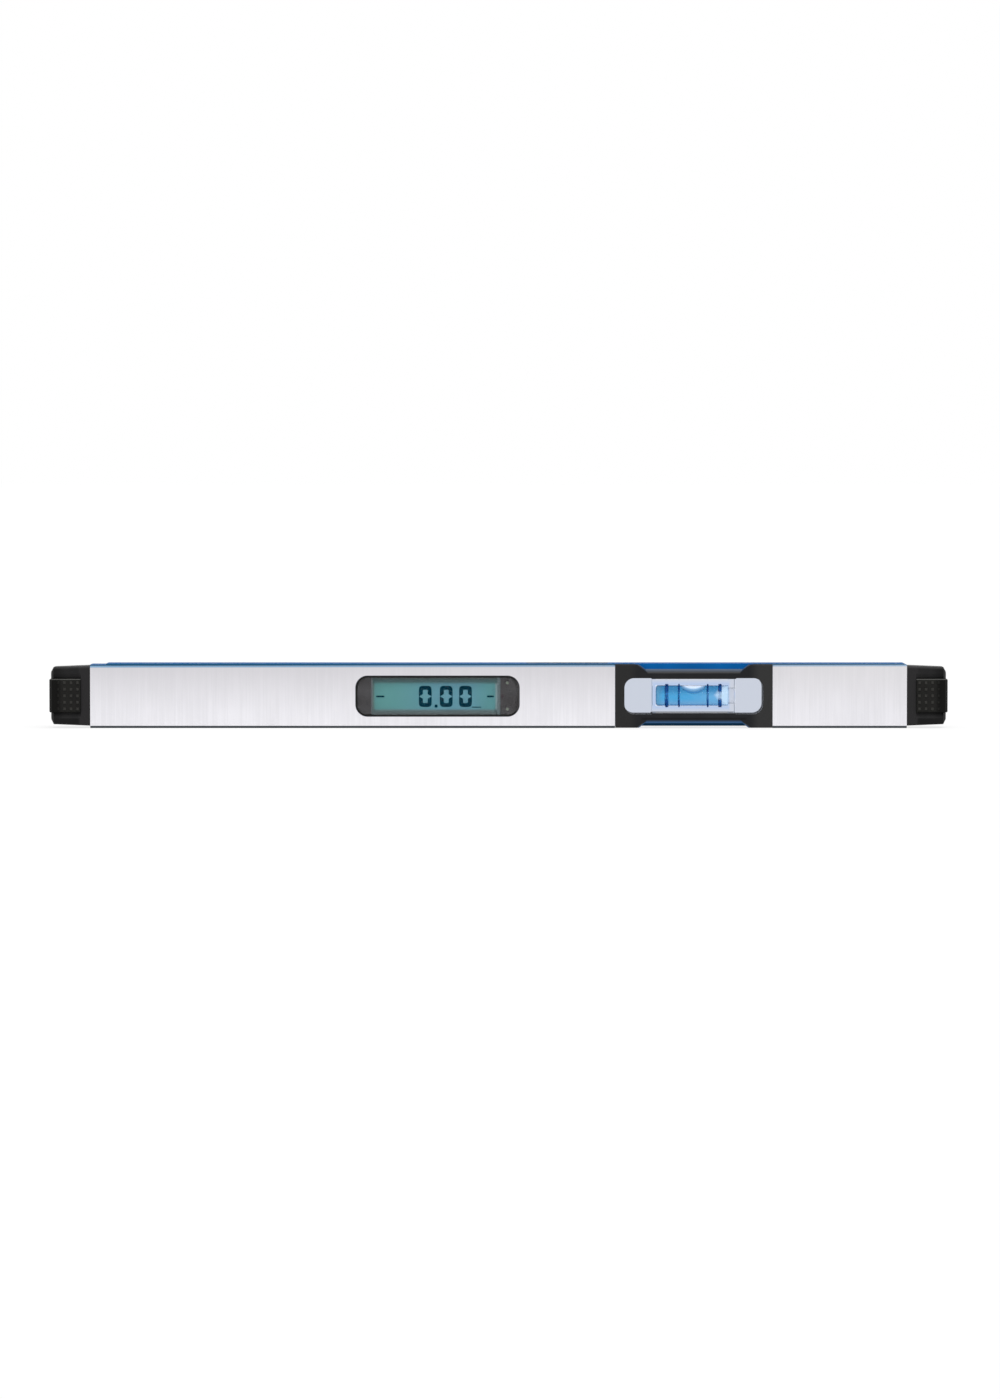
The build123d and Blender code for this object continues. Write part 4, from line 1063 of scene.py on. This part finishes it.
def makeBubble():
    low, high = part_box("vial_bubble")
    boreLow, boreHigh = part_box("vial_liquid")
    middle, length = (low + high) / 2, high.x - low.x
    crest = (middle.x, 0, high.z)
    axis = (boreLow.z + boreHigh.z) / 2
    radius = (boreHigh.z - boreLow.z) / 2 - bubbleLook["wallGap"]
    wallLength = length + bubbleLook["wallSpare"]
    wall = layRod((middle.x, 0, axis), radius, wallLength, bubbleLook["wallFacets"])
    startPiece()
    bpy.ops.mesh.primitive_uv_sphere_add(
        segments=bubbleLook["segments"], ring_count=bubbleLook["rings"], radius=1, location=crest)
    bubble = bpy.context.object
    bpy.ops.object.mode_set(mode="EDIT")
    reach = (length / 2, radius * bubbleLook["breadth"], high.z - low.z)
    bpy.ops.transform.resize(value=reach, center_override=crest)
    endEdit()
    cutWith(bubble, wall, "INTERSECT")
    softenEdges(bubble, bubbleLook["rim"], bubbleLook["rimSteps"], bubbleLook["rimAngle"])
    bpy.ops.object.mode_set(mode="EDIT")
    bpy.ops.mesh.select_all(action="SELECT")
    bpy.ops.mesh.remove_doubles(threshold=near)
    bpy.ops.mesh.dissolve_degenerate(threshold=bubbleLook["sliver"])
    endEdit()
    bpy.ops.object.shade_smooth()
    settle(bubble, "vialBubble", bubbleAir(low, high), "bubble")
    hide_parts("vial_bubble")


# Rings: printed bands that fill their grooves and dip into the liquid, so that no air shows round them
ringLook = {
    "lineWidth": 0.8 * mm, "slopeWidth": 1.9 * mm, "grow": 0.07 * mm, "dip": 0.03 * mm, "facets": 128,
    "edge": 0.08 * mm, "edgeSteps": 2, "edgeAngle": 30, "smoothAngle": 40,
    "ink": tint(50, 112, 206), "middleInk": tint(56, 140, 232), "middleToEnds": (0.2, 0.62),
    "cover": 1.0, "middleCover": 0.42, "rightCover": 0.12, "rightStart": 6 * mm, "rightFull": 3 * mm,
    # painted glow: a faint blue emission lights the ink inside the glass
    "glow": (0.0, 0.012, 0.05, 1), "roughness": 0.35, "shine": 0.2,
}


def vialInk():  # thinner at mid height, where a ring faces the front
    look = ringLook
    bench = newBench("vialInk")
    low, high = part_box("vial_slope_rings")
    x, _, z = bench.axes()
    fromMiddle = abs(z - (low.z + high.z) / 2) / ((high.z - low.z) / 2)
    ends = fromMiddle.ease(*look["middleToEnds"])
    right = x.ease(high.x - look["rightStart"], high.x - look["rightFull"])
    middleCover = look["middleCover"] + right * (look["rightCover"] - look["middleCover"])
    return bench.surface({
        "Base Color": bench.mix(ends, look["middleInk"], look["ink"]),
        "Roughness": look["roughness"], "Specular IOR Level": look["shine"],
        "Alpha": middleCover + ends * (look["cover"] - middleCover),
        # painted glow on the ink
        "Emission Color": look["glow"], "Emission Strength": 1.0,
    })


def makeRings(name, node, width):
    low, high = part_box(node)
    boreLow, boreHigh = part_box("vial_liquid")
    grow = ringLook["grow"]
    axis, radius = (low.z + high.z) / 2, (high.z - low.z) / 2 + grow
    inner = (boreHigh.z - boreLow.z) / 2 + liquidLook["grow"] - ringLook["dip"]
    bands = []
    for middle in (low.x + width / 2, high.x - width / 2):
        band = layRod((middle, 0, axis), radius, width + 2 * grow, ringLook["facets"], ends="NOTHING")
        wall = band.modifiers.new("wall", "SOLIDIFY")
        wall.thickness = radius - inner
        wall.offset = -1
        bpy.ops.object.modifier_apply(modifier=wall.name)
        softenEdges(band, ringLook["edge"], ringLook["edgeSteps"], ringLook["edgeAngle"])
        smoothBelow(ringLook["smoothAngle"])
        keepPlace()
        bands.append(band)
    rings = settle(joinPieces(bands), name, vialInk(), "level")
    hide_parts(node)


# Plug: cemented in, so it shows only as a faint line at its inner end
plugLook = {
    "grow": 0.07 * mm, "sink": 0.03 * mm, "facets": 96, "inset": 0.6 * mm, "smoothAngle": 40,
    "clear": (0.99, 0.99, 1.0, 1), "line": (0.84, 0.9, 0.9, 1), "lineFade": (0.3 * mm, 0.7 * mm),
}


def plugClear(start):
    bench = newBench("plugClear")
    x = bench.axes()[0]
    line = 1 - (x - start).ease(*plugLook["lineFade"])
    return bench.surface({
        "Base Color": bench.mix(line, plugLook["clear"], plugLook["line"]),
        "Roughness": blockLook["roughness"], "Transmission Weight": 1.0, "IOR": blockLook["ior"],
        "Specular Tint": blockLook["gleam"],
    })


def makePlug():
    low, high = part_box("vial_plug")
    start, end = low.x - plugLook["grow"], high.x - plugLook["sink"]
    middle = ((start + end) / 2, 0, (low.z + high.z) / 2)
    radius = (high.z - low.z) / 2 + plugLook["grow"]
    plug = layRod(middle, radius, end - start, plugLook["facets"])
    pick(plug, "FACE", lambda at: abs(at.z) > (end - start) / 2 - near)
    bpy.ops.mesh.inset(thickness=plugLook["inset"], depth=0)
    endEdit()
    smoothBelow(plugLook["smoothAngle"])
    settle(plug, "vialPlug", plugClear(start), "level")
    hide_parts("vial_plug")


# Domes: silicone cups under the keys, the kind that flatten as a key goes down; each gets a mesh of its
# own
domeLook = {
    "crown": 0.58, "wall": 0.4 * mm, "ceiling": 0.42, "facets": 48, "keep": 0.36,
    "edge": 0.08 * mm, "edgeSteps": 2, "edgeAngle": 30, "smoothAngle": 40,
}


def firstDome(low, high):
    radius, height = (high.x - low.x) / 2, high.z - low.z
    middle, ceiling = (low + high) / 2, domeLook["ceiling"]
    startPiece()
    bpy.ops.mesh.primitive_cone_add(
        vertices=domeLook["facets"], radius1=radius, radius2=radius * domeLook["crown"], depth=height,
        location=middle)
    dome = bpy.context.object
    pick(dome, "FACE", lambda at: at.z < near - height / 2)
    bpy.ops.mesh.inset(thickness=domeLook["wall"], depth=0)
    bpy.ops.mesh.extrude_region_move(TRANSFORM_OT_translate={"value": (0, 0, height - domeLook["wall"])})
    bpy.ops.transform.resize(value=(ceiling, ceiling, 1), center_override=middle)
    endEdit()
    softenEdges(dome, domeLook["edge"], domeLook["edgeSteps"], domeLook["edgeAngle"])
    smoothBelow(domeLook["smoothAngle"])
    return dome


def makeDomes():
    rubber = moulded("domeSilicone")
    domes = {"power": firstDome(*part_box("dome_power"))}
    for key in ("mode", "hold", "zero"):
        bpy.ops.object.duplicate(linked=False)
        domes[key] = bpy.context.object
        low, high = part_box("dome_" + key)
        domes[key].location = (low + high) / 2
    for key, dome in domes.items():
        takeUp(dome)
        low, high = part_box("dome_" + key)
        settle(dome, key + "Dome", rubber, "level")
        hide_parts("dome_" + key)
        key + "_press"
        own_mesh(dome)


makeDigits()
makeMarks()
makeLens()
print("display figures and lens made")
makeLiquid()
makeBubble()
makeRings("vialLines", "vial_level_lines", ringLook["lineWidth"])
makeRings("vialRings", "vial_slope_rings", ringLook["slopeWidth"])
makePlug()
print("vial filled")
makeDomes()
print("key domes made")
